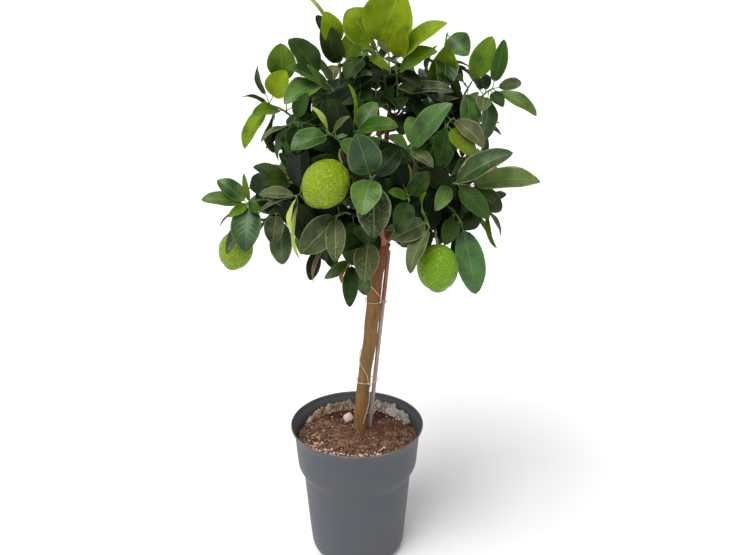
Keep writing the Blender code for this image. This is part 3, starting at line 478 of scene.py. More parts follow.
@dataclass(frozen=True)
class ChipFinish:
    """Loose bits, each between two colours by its own tint, with a grain, and painted shade on those at the
    back of the soil.
    """

    name: str
    dark: Colour
    pale: Colour
    rough: float = 0.8
    # How much of the painted shade at the back of the soil the bits take.
    stain_and_shade: float = 0.0

    def material(self) -> bpy.types.Material:
        """The bits' material."""
        dress = Dress(self.name)
        grain = dress.noise(900.0, 3.0)
        colour = dress.blend(dress.attribute("tint") * 0.85 + grain * 0.3 - 0.1, self.dark, self.pale)
        # Painted shade: bits at the back of the soil go dark red.
        colour = dress.blend(dress.back_shade() * self.stain_and_shade, colour, SOIL_SHADE)
        dress.bump(grain, 0.0008)
        return dress.finish(colour, grain * 0.15 + (self.rough - 0.07))


@dataclass(frozen=True)
class CaneFinish:
    """The cane: weathered grey below and reddish above, with fibres along it."""

    name: str
    low: Colour
    high: Colour
    turn: float

    def material(self) -> bpy.types.Material:
        """The cane's material."""
        dress = Dress(self.name)
        fibres = dress.noise(700.0, 3.0, (1.0, 1.0, 0.06))
        broad = dress.noise(60.0, 2.0, (1.0, 1.0, 0.4))
        height = dress.axis(2) + (broad - 0.5) * 0.06
        colour = dress.blend(height.rise(self.turn - 0.02, self.turn + 0.02), self.low, self.high)
        colour = dress.blend(fibres.rise(0.4, 0.75) * 0.5, colour, paint(84, 66, 58))
        colour = dress.blend(broad.rise(0.5, 0.75) * 0.35, colour, paint(190, 176, 166))
        dress.bump(fibres, 0.0006)
        return dress.finish(colour, fibres * 0.2 + 0.6)


@dataclass(frozen=True)
class TwineFinish:
    """Pale natural string, darker between its plies."""

    name: str
    pale: Colour
    dark: Colour

    def material(self) -> bpy.types.Material:
        """The string's material."""
        dress = Dress(self.name)
        broad = dress.noise(90.0, 2.0)
        fluff = dress.noise(2200.0, 2.0)
        colour = dress.blend((fluff * 0.6 + broad * 0.6).rise(0.35, 0.85), self.dark, self.pale)
        dress.bump(fluff, 0.0003)
        return dress.finish(colour, fluff * 0.1 + 0.8)


class Age(Enum):
    """The finishes that a leaf can have. SHADED is no age: it is a darker copy of a leaf that paints the
    shade deep in the crown.
    """

    YOUNG = LeafFinish(
        "young", paint(66, 92, 0), paint(112, 138, 6), paint(144, 168, 44), 0.4, 0.3, 0.0, shine=0.12
    )
    FRESH = LeafFinish(
        "fresh", paint(38, 72, 2), paint(84, 114, 8), paint(118, 144, 48), 0.36, 0.3, 0.03, shine=0.18
    )
    MATURE = LeafFinish(
        "mature", paint(26, 56, 14), paint(78, 112, 42), paint(116, 138, 78), 0.34, 0.4, 0.2
    )
    GLOSSY = LeafFinish(
        "glossy", paint(20, 50, 20), paint(60, 100, 40), paint(104, 134, 86), 0.3, 0.35, 0.12, shine=0.35
    )
    DARK = LeafFinish(
        "dark", paint(11, 26, 6), paint(42, 68, 22), paint(72, 96, 46), 0.4, 0.3, 0.12, shine=0.1
    )
    # A darker copy of a leaf: painted shade for leaves deep in the crown, not an age.
    SHADED = LeafFinish(
        "shaded", paint(6, 14, 3), paint(22, 36, 9), paint(38, 52, 20), 0.45, 0.3, 0.1, shine=0.1
    )
    DUSTY = LeafFinish(
        "dusty", paint(34, 44, 18), paint(76, 88, 46), paint(136, 138, 100), 0.5, 0.5, 0.6, shine=0.2
    )
    SPOTTED = LeafFinish(
        "spotted", paint(30, 42, 18), paint(68, 80, 40), paint(134, 136, 96), 0.5, 0.5, 0.95, shine=0.2
    )
    SCORCHED = LeafFinish(
        "scorched", paint(34, 60, 20), paint(82, 110, 50), paint(126, 142, 88), 0.4, 0.4, 0.3, 0.4
    )
    PALE = LeafFinish(
        "pale", paint(110, 130, 40), paint(160, 178, 84), paint(180, 190, 116), 0.45, 0.3, 0.1
    )
    DRY = LeafFinish(
        "dry", paint(84, 60, 34), paint(140, 112, 74), paint(160, 140, 100), 0.6, 0.5, 0.3, 0.3
    )


class Finish(Protocol):
    """What a piece can wear."""

    def material(self) -> bpy.types.Material:
        """A new material with this finish."""


@cache
def material_of(finish: Finish) -> bpy.types.Material:
    """The finish's material, made once."""
    return finish.material()


@cache
def leaf_materials(finish: LeafFinish) -> tuple[bpy.types.Material, bpy.types.Material]:
    """The materials of a leaf's upper side and underside, made once."""
    return finish.upper(), finish.under()


# ------------------------------------------------------------------------------------------
# Shapes
# ------------------------------------------------------------------------------------------


def smooth_route(points: Sequence[Sequence[float]], steps: int) -> list[Vector]:
    """A Catmull-Rom curve through the points, with the given number of steps in each stretch."""
    points = [Vector(point) for point in points]
    ends = [2 * points[0] - points[1], *points, 2 * points[-1] - points[-2]]
    route = []
    for before, start, end, after in zip(ends, ends[1:], ends[2:], ends[3:]):
        for step in range(steps):
            t = step / steps
            route.append(
                0.5 * (2 * start + (end - before) * t + (2 * before - 5 * start + 4 * end - after) * t**2
                       + (3 * start - before - 3 * end + after) * t**3)
            )
    return [*route, points[-1]]


def along_route(route: Sequence[Sequence[float]], fraction: float) -> Vector:
    """The point at a fraction of a route's length."""
    route = [Vector(point) for point in route]
    spans = [(end - start).length for start, end in zip(route, route[1:])]
    left = fraction * sum(spans)
    for start, end, span in zip(route, route[1:], spans):
        if left <= span:
            return start.lerp(end, left / span)
        left -= span
    return route[-1]


def sweep(
    bm: bmesh.types.BMesh, route: Sequence[Vector], radius: Callable[[float], float], sides: int
) -> list[tuple[Vector, list[bmesh.types.BMVert]]]:
    """Extrudes a ring along a route into a capped tube.

    Args:
        bm: where the tube goes.
        route: its middle, in cm.
        radius: its radius in cm at a fraction of the route.
        sides: the number of its sides.

    Returns:
        The rings, each with its centre in metres and its vertices.
    """
    count = len(route) - 1
    heading = (route[1] - route[0]).normalized()
    turn = UP.rotation_difference(heading).to_matrix().to_4x4()
    start = Matrix.Translation(cm(route[0])) @ turn
    ring = bmesh.ops.create_circle(
        bm, cap_ends=True, segments=sides, radius=radius(0.0) * CM, matrix=start
    )["verts"]
    edges = list({edge for vert in ring for edge in vert.link_edges})
    rings = [(cm(route[0]), ring)]
    for index in range(1, count + 1):
        made = bmesh.ops.extrude_edge_only(bm, edges=edges)["geom"]
        ring = [item for item in made if isinstance(item, bmesh.types.BMVert)]
        edges = [item for item in made if isinstance(item, bmesh.types.BMEdge)]
        edges = [edge for edge in edges if set(edge.verts) <= set(ring)]
        onward = (route[min(index + 1, count)] - route[index - 1]).normalized()
        grow = radius(index / count) / radius((index - 1) / count)
        move = (
            Matrix.Translation(cm(route[index]))
            @ heading.rotation_difference(onward).to_matrix().to_4x4()
            @ Matrix.Scale(grow, 4)
            @ Matrix.Translation(-cm(route[index - 1]))
        )
        bmesh.ops.transform(bm, matrix=move, verts=ring)
        heading = onward
        rings.append((cm(route[index]), ring))
    bmesh.ops.holes_fill(bm, edges=edges, sides=sides)
    return rings


def taper(start: float, end: float) -> Callable[[float], float]:
    """A radius that goes evenly from start to end."""
    return lambda fraction: start + (end - start) * fraction


def rough(point: Vector, size: float, seed: float = 0.0) -> float:
    """Noise from about -1 to 1 at a point in metres, with bumps of the given size in cm."""
    return noise.noise(point / (size * CM) + Vector((seed, 0.7 * seed, -1.3 * seed)))


def bumpy(point: Vector, layers: Layers, level: float = 0.0) -> float:
    """A level with layers of noise on it, at a point in metres."""
    return sum((height * rough(point, size, seed) for height, size, seed in layers), level)


def mesh_of(bm: bmesh.types.BMesh, name: str) -> bpy.types.Mesh:
    """A mesh of what was modelled, which is then let go."""
    mesh = bpy.data.meshes.new(name)
    bm.to_mesh(mesh)
    bm.free()
    return mesh


def add_object(name: str, data: bpy.types.ID) -> bpy.types.Object:
    """A new object in the scene."""
    thing = bpy.data.objects.new(name, data)
    bpy.context.scene.collection.objects.link(thing)
    return thing


class Piece:
    """A mesh in the making, with the materials of its faces and the marks that they read."""

    def __init__(self, name: str) -> None:
        """Starts an empty piece."""
        self.name = name
        self.bm = bmesh.new()
        self.blade = self.bm.loops.layers.uv.new("blade")
        self.tint = self.bm.verts.layers.float.new("tint")
        self.reach = self.bm.verts.layers.float.new("reach")
        self.materials: list[bpy.types.Material] = []

    def slot(self, material: bpy.types.Material) -> int:
        """The number of the material's slot, added if it is new."""
        if material not in self.materials:
            self.materials.append(material)
        return self.materials.index(material)

    def paint_new(self, before: int, finish: Finish) -> None:
        """Gives the finish to the faces made since there were that many."""
        slot = self.slot(material_of(finish))
        self.bm.faces.ensure_lookup_table()
        for face in self.bm.faces[before:]:
            face.material_index = slot

    def tube(
        self,
        route: Sequence[Vector],
        radius: Callable[[float], float],
        sides: int,
        finish: Finish,
        swell: Callable[[Vector, Vector], float] | None = None,
    ) -> None:
        """Adds a capped tube along a route in cm; swell scales a point's radius by its centre and place."""
        before = len(self.bm.faces)
        rings = sweep(self.bm, route, radius, sides)
        if swell:
            for centre, ring in rings:
                for vert in ring:
                    vert.co = centre + (vert.co - centre) * swell(centre, vert.co)
        self.paint_new(before, finish)

    def lathe(self, profile: Sequence[Spot], steps: int) -> None:
        """Spins a profile, given as (radius, height) in cm, round the upright axis."""
        verts = [self.bm.verts.new(cm((radius, 0.0, height))) for radius, height in profile]
        edges = [self.bm.edges.new(pair) for pair in zip(verts, verts[1:])]
        geom = [*verts, *edges]
        bmesh.ops.spin(
            self.bm, geom=geom, axis=UP, cent=(0, 0, 0), angle=math.tau, steps=steps, use_merge=True
        )

    def finish(self, replaces: Sequence[str], slot: str, angle: float = 40.0) -> bpy.types.Object:
        """Makes the object, rides it on the plant and hides the nodes that it stands for.

        Args:
            replaces: the CAD nodes that it stands for.
            slot: not used.
            angle: edges that turn more than this, in degrees, stay sharp.

        Returns:
            The object.
        """
        bmesh.ops.recalc_face_normals(self.bm, faces=self.bm.faces)
        mesh = mesh_of(self.bm, self.name)
        for material in self.materials:
            mesh.materials.append(material)
        mesh.shade_smooth()
        mesh.set_sharp_from_angle(angle=math.radians(angle))
        piece = add_object(self.name, mesh)
        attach(piece, BODY)
        if replaces:
            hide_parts(*replaces)
        LOG.info("%s: %d faces", self.name, len(mesh.polygons))
        return piece


# ------------------------------------------------------------------------------------------
# The pot and what lies in it
# ------------------------------------------------------------------------------------------


@dataclass
class Pot:
    """A thin moulded nursery pot, wide in the collar and stepped in below it.

    The outline is given as (radius, height) in cm, from the middle of the base up to the lip's inner edge.
    """

    outline: tuple[Spot, ...] = (
        (0, 0), (5.5, 0), (6.1, 0.04), (6.55, 0.2), (6.85, 0.45), (7.05, 0.8), (7.18, 1.2), (7.28, 1.7),
        (7.45, 3.6), (7.63, 5.7), (7.625, 5.85), (7.65, 6), (7.7, 6.7), (7.92, 9.5), (8.17, 12.8),
        (8.21, 13.15), (8.28, 13.45), (8.45, 13.8), (8.68, 14.2), (8.87, 14.55), (9.0, 14.9), (9.08, 15.3),
        (9.13, 15.8), (9.25, 17.3), (9.42, 19.6), (9.48, 19.95), (9.6, 20.3), (9.78, 20.65), (9.92, 20.95),
        (10, 21.2), (10, 21.32), (9.95, 21.4), (9.86, 21.38), (9.83, 21.28),
    )
    lip_points: int = 5  # the last points of the outline, which have no inner wall of their own
    wall: float = 0.13
    sides: int = 128
    drain_radius: float = 0.5
    drain_circle: float = 3.9
    drain_count: int = 4
    drain_sides: int = 24
    finish: PlasticFinish = PlasticFinish("pot_plastic", paint(63, 67, 75), paint(71, 71, 73), 0.2105)

    def build(self) -> None:
        """Spins the wall, cuts the drain holes and adds the piece."""
        piece = Piece("pot_shell")
        inner = [
            (max(0.0, radius - self.wall), max(height, self.wall))
            for radius, height in reversed(self.outline[: -self.lip_points])
        ]
        piece.lathe([*self.outline, *inner], self.sides)
        bmesh.ops.remove_doubles(piece.bm, verts=piece.bm.verts, dist=1e-6)
        bmesh.ops.dissolve_degenerate(piece.bm, edges=piece.bm.edges, dist=1e-7)
        piece.slot(material_of(self.finish))
        self._cut_drains(piece.finish(["pot"], "pot_plastic", 30.0))

    def _cut_drains(self, shell: bpy.types.Object) -> None:
        """Cuts the holes through the base and keeps the result."""
        bm = bmesh.new()
        for index in range(self.drain_count):
            angle = math.tau * (index + 0.5) / self.drain_count
            centre = (self.drain_circle * math.cos(angle), self.drain_circle * math.sin(angle), 0.0)
            radius = self.drain_radius * CM
            bmesh.ops.create_cone(
                bm, cap_ends=True, segments=self.drain_sides, radius1=radius, radius2=radius, depth=CM,
                matrix=Matrix.Translation(cm(centre)),
            )
        drains = add_object("drains", mesh_of(bm, "drains"))
        cut = shell.modifiers.new("drains", "BOOLEAN")
        cut.operation = "DIFFERENCE"
        cut.solver = "EXACT"
        cut.object = drains
        bpy.context.view_layer.update()
        drilled = bpy.data.meshes.new_from_object(shell.evaluated_get(bpy.context.evaluated_depsgraph_get()))
        shell.modifiers.clear()
        plain, shell.data = shell.data, drilled
        bpy.data.meshes.remove(plain)
        bpy.data.objects.remove(drains)


@dataclass
class Soil:
    """Coarse potting soil, with bark chips, pale crumbs and clods lying on it."""

    middle_height: float = 19.4
    edge_height: float = 18.7
    edge: float = 9.12
    shelf: float = 18.3  # what lies above this is the top
    under: tuple[Spot, ...] = (
        (8.88, 15.6), (7.97, 13.1), (7.08, 1.8), (6.85, 1.1), (6.4, 0.65), (5.4, 0.2), (0.001, 0.2),
    )
    rings: int = 46
    sides: int = 150
    lumps: Layers = ((0.16, 2.2, 3.0), (0.12, 0.8, 5.0), (0.06, 0.35, 7.0))
    stem_foot: Spot = (0.4, 1.0)
    mound_height: float = 0.35
    mound_spread: float = 3.0
    clear_middle: Spot = (1.1, 1.5)  # between the stem and the cane, where nothing lies
    clear_radius: float = 1.7
    litter_edge: float = 8.9
    seed: int = 11
    ground: GroundFinish = GroundFinish(
        "potting_soil", paint(40, 16, 10), paint(124, 80, 54), paint(176, 142, 112), 0.4, stain_and_shade=0.75
    )
    clods: ChipFinish = ChipFinish("soil_clods", paint(48, 18, 10), paint(150, 108, 80), 0.9, 0.85)
    chips: ChipFinish = ChipFinish("bark_chips", paint(64, 30, 18), paint(188, 144, 112), stain_and_shade=0.6)
    wood: ChipFinish = ChipFinish("wood_bits", paint(160, 116, 82), paint(214, 176, 142))
    crumbs: ChipFinish = ChipFinish("pale_crumbs", paint(196, 158, 144), paint(240, 222, 212), 0.9)

    def surface(self, x: float, y: float) -> float:
        """The soil's height at a place, in cm."""
        out = (math.hypot(x, y) / self.edge) ** 1.6
        level = self.middle_height + (self.edge_height - self.middle_height) * out
        away = (x - self.stem_foot[0]) ** 2 + (y - self.stem_foot[1]) ** 2
        mound = self.mound_height * math.exp(-away / self.mound_spread)
        return level + mound + bumpy(cm((x, y, 0.0)), self.lumps)

    def build(self) -> None:
        """Adds the body of soil, then what lies on it."""
        piece = Piece("potting_soil")
        steps = range(self.rings + 1)
        top = [(0.001 + self.edge * step / self.rings, self.middle_height) for step in steps]
        piece.lathe([*top, *self.under], self.sides)
        for vert in piece.bm.verts:
            if vert.co.z > self.shelf * CM:
                vert.co.z = self.surface(vert.co.x / CM, vert.co.y / CM) * CM
        bmesh.ops.remove_doubles(piece.bm, verts=piece.bm.verts, dist=0.00003)
        piece.slot(material_of(self.ground))
        piece.finish(["soil"], "soil", 60.0)
        self._litter()

    def _litter(self) -> None:
        """Scatters clods, bark chips and pale crumbs over the soil."""
        random.seed(self.seed)
        piece = Piece("soil_litter")
        near_wall = self._near_wall
        for count, add, finish, spot, smallest, largest in (
            (1000, self._clod, self.clods, partial(self._spot, 9.0), 0.08, 0.26),
            (150, self._chip, self.chips, partial(self._spot, 8.9), 0.25, 0.8),
            (120, self._clod, self.crumbs, partial(self._spot, 9.0), 0.05, 0.12),
            (18, self._chip, self.wood, partial(near_wall, 175.0, 235.0, 6.2), 0.7, 1.7),
            (300, self._clod, self.crumbs, partial(near_wall, 200.0, 318.0, 5.6), 0.07, 0.21),
            (50, self._clod, self.crumbs, partial(near_wall, 25.0, 80.0, 7.0), 0.06, 0.2),
        ):
            for _ in range(count):
                add(piece, spot(), random.uniform(smallest, largest), finish)
        piece.finish([], "soil", 30.0)

    def _spot(self, reach: float) -> Spot:
        """A random place on the soil, clear of the stem and the cane."""
        while True:
            angle = random.uniform(0.0, math.tau)
            radius = reach * math.sqrt(random.random())
            spot = (radius * math.cos(angle), radius * math.sin(angle))
            if math.dist(spot, self.clear_middle) > self.clear_radius:
                return spot

    def _near_wall(self, first: float, last: float, inner: float) -> Spot:
        """A random place between two angles, from the inner radius to the wall."""
        angle = math.radians(random.uniform(first, last))
        radius = random.uniform(inner, self.litter_edge)
        return radius * math.cos(angle), radius * math.sin(angle)

    def _place(self, piece: Piece, verts: Iterable[bmesh.types.BMVert], spot: Spot, lift: float) -> None:
        """Turns a bit at random, sets its middle that high over the soil and gives it a tint."""
        turn = Matrix.Rotation(random.uniform(0, math.tau), 3, "Z")
        turn = turn @ Matrix.Rotation(random.uniform(-0.5, 0.5), 3, "X")
        height = self.surface(*spot) + lift
        tint = random.random()
        for vert in verts:
            vert.co = turn @ vert.co + cm((*spot, height))
            vert[piece.tint] = tint

    def _clod(self, piece: Piece, spot: Spot, radius: float, finish: ChipFinish) -> None:
        """Adds a lump of the finish."""
        before = len(piece.bm.faces)
        verts = bmesh.ops.create_icosphere(piece.bm, subdivisions=1, radius=radius * CM)["verts"]
        flat = random.uniform(0.5, 0.9)
        for vert in verts:
            vert.co *= random.uniform(0.75, 1.25)
            vert.co.z *= flat
        self._place(piece, verts, spot, radius * 0.35)
        piece.paint_new(before, finish)

    def _chip(self, piece: Piece, spot: Spot, length: float, finish: ChipFinish) -> None:
        """Adds a flat splinter of the finish."""
        before = len(piece.bm.faces)
        verts = bmesh.ops.create_cube(piece.bm, size=CM)["verts"]
        size = Vector((length, random.uniform(0.14, 0.4), random.uniform(0.06, 0.16)))
        for vert in verts:
            vert.co = Vector(a * b * random.uniform(0.6, 1.1) for a, b in zip(vert.co, size))
        self._place(piece, verts, spot, size.z * 0.6)
        piece.paint_new(before, finish)


GREY_CRUST = GroundFinish(
    "grey_crust", paint(98, 86, 76), paint(166, 154, 140), paint(208, 200, 188), 0.6, 320.0, 0.0, 0.3
)
TAN_CRUST = GroundFinish(
    "tan_crust", paint(80, 56, 36), paint(152, 122, 88), paint(194, 176, 152), 0.5, 320.0, 0.0, 0.3
)


@dataclass
class Crust:
    """A crust of the old root ball that stands against the pot's wall between two angles."""

    node: str
    first: float
    last: float
    first_height: float
    last_height: float
    finish: GroundFinish
    foot: float = 18.8
    inner: float = 8.6
    outer: float = 9.12
    least: float = 0.05
    cuts: tuple[tuple[int, int], ...] = ((0, 70), (2, 9), (1, 2))  # along, up and through
    ragged_top: Layers = ((0.55, 1.5, 2.0), (0.45, 0.4, 9.0))
    rough_face: Layers = ((0.16, 0.9, 4.0), (0.1, 0.35, 0.0))

    def build(self) -> None:
        """Bends a block round the wall, makes its top ragged and its face crumbly."""
        piece = Piece(self.node + "_ragged")
        bmesh.ops.create_cube(piece.bm, size=1.0)
        for axis, cuts in self.cuts:
            ends = {edge: [vert.co[axis] for vert in edge.verts] for edge in piece.bm.edges}
            edges = [edge for edge, (start, end) in ends.items() if abs(start - end) > 0.5]
            bmesh.ops.subdivide_edges(piece.bm, edges=edges, cuts=cuts, use_grid_fill=True)
        for vert in piece.bm.verts:
            along, depth, up = vert.co + Vector((0.5, 0.5, 0.5))
            angle = math.radians(self.first + (self.last - self.first) * along)
            ends = min(1.0, 7.0 * min(along, 1.0 - along) + 0.25)
            place = Vector((math.cos(angle), math.sin(angle), 0.0)) * 0.09
            ragged = bumpy(place, self.ragged_top)
            top = (self.first_height + (self.last_height - self.first_height) * along + ragged) * ends
            face = bumpy(place + Vector((0, 0, up * 0.02)), self.rough_face) - 0.25 * (1 - up)
            radius = self.inner + (self.outer - self.inner) * depth + face * (1 - depth)
            height = self.foot + max(self.least, top) * up
            vert.co = cm((radius * math.cos(angle), radius * math.sin(angle), height))
        piece.slot(material_of(self.finish))
        piece.finish([self.node], "root_crust", 70.0)


@dataclass
class Pebble:
    """The pale stone beside the stem."""

    centre: Point = (-1.4, 3.3, 20.15)
    radii: Point = (0.78, 0.67, 0.88)
    facets: Layers = ((0.22, 0.9, 6.0), (0.05, 0.25, 2.0))
    shades: Layers = ((0.5, 0.7, 1.0),)
    finish: ChipFinish = ChipFinish("pebble", paint(186, 162, 146), paint(232, 218, 206), 0.8)

    def build(self) -> None:
        """Chips a ball into a stone."""
        piece = Piece("pebble")
        verts = bmesh.ops.create_icosphere(piece.bm, subdivisions=4, radius=1.0)["verts"]
        for vert in verts:
            facet = bumpy(vert.co * CM, self.facets, 1.0)
            vert[piece.tint] = bumpy(vert.co * CM, self.shades, 0.5)
            vert.co = cm(Vector(a * b for a, b in zip(vert.co * facet, self.radii)) + Vector(self.centre))
        piece.slot(material_of(self.finish))
        piece.finish(["stone"], "pebble", 60.0)


# ------------------------------------------------------------------------------------------
# The cane and the string
# ------------------------------------------------------------------------------------------


@dataclass
class Cane:
    """The thin cane that the stem is tied to."""

    foot: Point = (1.02, 2.44, 10.3)
    top: Point = (4.6, 0.6, 48.2)
    radius: float = 0.32
    joints: tuple[float, ...] = (0.31, 0.58, 0.86)  # how far up the cane each one is
    steps: int = 90
    finish: CaneFinish = CaneFinish("cane", paint(172, 154, 144), paint(158, 90, 54), 0.393)

    def build(self) -> None:
        """Adds the cane, a little uneven, with a worn end."""
        piece = Piece("cane")
        foot, top = Vector(self.foot), Vector(self.top)
        route = [foot.lerp(top, step / self.steps) for step in range(self.steps + 1)]

        def radius(fraction: float) -> float:
            """The cane's radius, with faint joints and a worn top."""
            swollen = sum(math.exp(-((fraction - joint) ** 2) / 0.00006) for joint in self.joints)
            return self.radius * (1.0 if fraction < 0.995 else 0.75) + 0.025 * swollen

        def swell(centre: Vector, place: Vector) -> float:
            """The uneven skin."""
            return 1.0 + 0.07 * rough(Vector((place.x * 3, place.y * 3, place.z * 0.3)), 0.7)

        piece.tube(route, radius, 14, self.finish, swell)
        piece.finish(["stake"], "cane")


@dataclass
class Twine:
    """The string, two plies twisted together, with a small knot at each hitch."""

    radius: float = 0.065
    ply_radius: float = 0.065 * 0.55
    knot_radius: float = 0.065 * 2.1
    lay: float = 0.55
    knots: tuple[Point, ...] = ((1.8, -0.18, 27.75), (3.42, -0.14, 40.8))
    finish: TwineFinish = TwineFinish("string", paint(236, 222, 204), paint(176, 152, 128))

    def build(self, route: Sequence[Point]) -> None:
        """Twists two plies round the route and ties the knots."""
        piece = Piece("twine")
        middle = smooth_route(route, 12)
        thick = taper(self.ply_radius, self.ply_radius)
        for ply in range(2):
            piece.tube(self._ply(middle, math.pi * ply), thick, 6, self.finish)
        for knot in self.knots:
            before = len(piece.bm.faces)
            radius = self.knot_radius * CM
            for vert in bmesh.ops.create_icosphere(piece.bm, subdivisions=3, radius=radius)["verts"]:
                vert.co = vert.co * (1 + 0.3 * rough(vert.co, 0.08)) + cm(knot)
            piece.paint_new(before, self.finish)
        piece.finish(["string"], "string", 60.0)

    def _ply(self, middle: Sequence[Vector], turn: float) -> list[Vector]:
        """One ply's route: a fine helix about the middle."""
        walked = 0.0
        route = []
        side = (middle[1] - middle[0]).orthogonal().normalized()
        for index, point in enumerate(middle):
            onward = (middle[min(index + 1, len(middle) - 1)] - middle[max(index - 1, 0)]).normalized()
            side = (side - onward * side.dot(onward)).normalized()
            walked += (point - middle[max(index - 1, 0)]).length
            angle = turn + math.tau * walked / self.lay
            off = side * math.cos(angle) + onward.cross(side) * math.sin(angle)
            route.append(point + off * self.radius * 0.45)
        return route


# ------------------------------------------------------------------------------------------
# The plan of the tree, in cm
# ------------------------------------------------------------------------------------------

STEM_PATH = [
    (0.4, 1.0, 12.3), (0.4, 1.0, 19.3), (0.7, 1.0, 24.5), (1.0, 1.0, 27.3), (1.4, 0.9, 31.2),
    (1.9, 0.8, 34.0), (2.1, 0.7, 36.8), (2.4, 0.6, 39.4), (2.5, 0.5, 41.5), (2.7, 0.4, 43.8),
    (3.1, 0.2, 46.6), (3.8, 0.0, 49.5),
]
FORK = STEM_PATH[-1]

STRING_ROUTE = [
    (0.92, 0.04, 21.0), (1.3, -0.02, 22.6), (1.68, -0.06, 24.0), (1.88, -0.1, 25.7), (1.92, -0.14, 27.0),
    (2.12, 0.2, 27.5), (2.45, 0.95, 27.5), (3.0, 1.35, 27.5), (3.22, 1.82, 27.6), (2.85, 2.32, 27.7),
    (2.0, 2.2, 27.8), (1.05, 2.08, 27.85), (0.18, 1.68, 27.85), (-0.05, 1.0, 27.8), (0.22, 0.27, 27.75),
    (0.95, -0.1, 27.75), (1.62, -0.15, 27.85), (1.62, -0.2, 28.6), (1.4, -0.18, 29.4), (0.85, -0.1, 30.4),
    (0.42, 0.28, 31.2), (0.32, 0.95, 31.8), (0.6, 1.7, 32.4), (1.6, 2.02, 33.3), (2.6, 2.05, 34.8),
    (3.15, 2.05, 36.8), (3.7, 2.0, 38.9), (4.25, 1.78, 40.0), (4.47, 1.22, 40.35), (4.12, 0.7, 40.55),
    (3.45, -0.08, 40.62), (2.5, -0.62, 40.65), (1.58, -0.32, 40.7), (1.25, 0.5, 40.75), (1.58, 1.4, 40.8),
    (2.5, 1.75, 40.85), (3.28, 1.45, 40.95), (3.65, 0.55, 41.1), (3.5, -0.14, 41.3), (2.95, -0.78, 42.3),
    (2.1, -0.95, 43.3), (1.2, -1.5, 44.3), (0.35, -2.5, 45.0), (-0.25, -4.0, 45.8), (-0.1, -5.2, 47.3),
    (0.7, -5.4, 49.1), (1.8, -4.9, 50.1), (2.6, -4.2, 50.8),
]

LIMBS: dict[str, tuple[list[Point], tuple[float, float]]] = {
    "front": (
        [FORK, (3.4, -4.0, 51.5), (2.8, -8.0, 54.8), (1.2, -11.8, 59.5), (-0.4, -12.9, 61.9)], (0.55, 0.38)
    ),
    "left": ([FORK, (1.4, -2.0, 51.5), (-2.0, -4.6, 54.5), (-6.0, -8.0, 56.9)], (0.5, 0.24)),
    "left_top": ([FORK, (2.0, -0.5, 54.3), (-1.0, -3.0, 60.3), (-4.0, -5.0, 65.3)], (0.55, 0.24)),
    "top": ([FORK, (3.8, 0.5, 55.3), (4.0, -1.0, 62.3), (4.5, -3.0, 68.3)], (0.6, 0.24)),
    "right": ([FORK, (6.2, -1.2, 51.9), (8.6, -4.6, 54.7), (10.6, -7.6, 57.1)], (0.5, 0.24)),
    "right_top": ([FORK, (5.6, 0.2, 54.3), (8.0, -2.0, 60.3), (10.0, -3.6, 65.3)], (0.55, 0.24)),
    "back_left": ([FORK, (1.5, 3.0, 53.3), (-2.0, 6.6, 57.7), (-3.6, 7.6, 62.3)], (0.5, 0.24)),
    "back_right": ([FORK, (6.2, 3.0, 53.3), (8.8, 5.6, 57.3), (10.0, 6.2, 61.9)], (0.5, 0.24)),
    "back_top": ([FORK, (4.2, 2.6, 56.3), (3.4, 4.6, 62.7), (3.0, 5.4, 67.3)], (0.5, 0.24)),
}
JOINT_GAP = 0.03
SPUR_STUB = 0.5  # straight end of a spur, in line with the twig that goes on from it
SHORT_SPUR = 1.2  # a spur this short has no bend

# Ways that a leaf's upper face can look.
FRONT = (0.0, -1.0, 0.25)
SLOPE = (0.0, -0.75, 0.75)
SKY = (0.0, -0.25, 1.0)
LEFT = (-0.9, -0.45, 0.3)
RIGHT = (0.9, -0.45, 0.3)

# Where a leaf's tip may have moved from the plan to clear its neighbours, in cm to its face and its side.
SHIFTS = [
    (0, 0), (0.6, 0), (-0.6, 0), (1.2, 0), (-1.2, 0), (0, 0.8), (0, -0.8), (1.8, 0.5), (-1.8, -0.5),
    (1.0, 1.4), (-1.0, -1.4), (2.4, -1.0), (-2.4, 1.0), (0, 2.4), (0, -2.4), (3.0, 0), (-3.0, 0),
]


class Leaf(NamedTuple):
    """How far along the twig its stalk leaves, its tip, width and face, its age (SHADED is painted shade, not
    an age) and its stalk's length.
    """

    at: float
    tip: Point
    width: float
    face: Point
    age: Age
    stalk: float = 0.9


class Shoot(NamedTuple):
    """The limb, how far along it the spur leaves, the twig's two ends, and its leaves."""

    limb: str
    along: float
    root: Point
    tip: Point
    leaves: list[Leaf]


class LimePlan(NamedTuple):
    """The limb, how far along it the spur leaves, the stalk's top, and the fruit's middle, end and size."""

    limb: str
    along: float
    top: Point
    middle: Point
    lower: Point
    length: float
    width: float


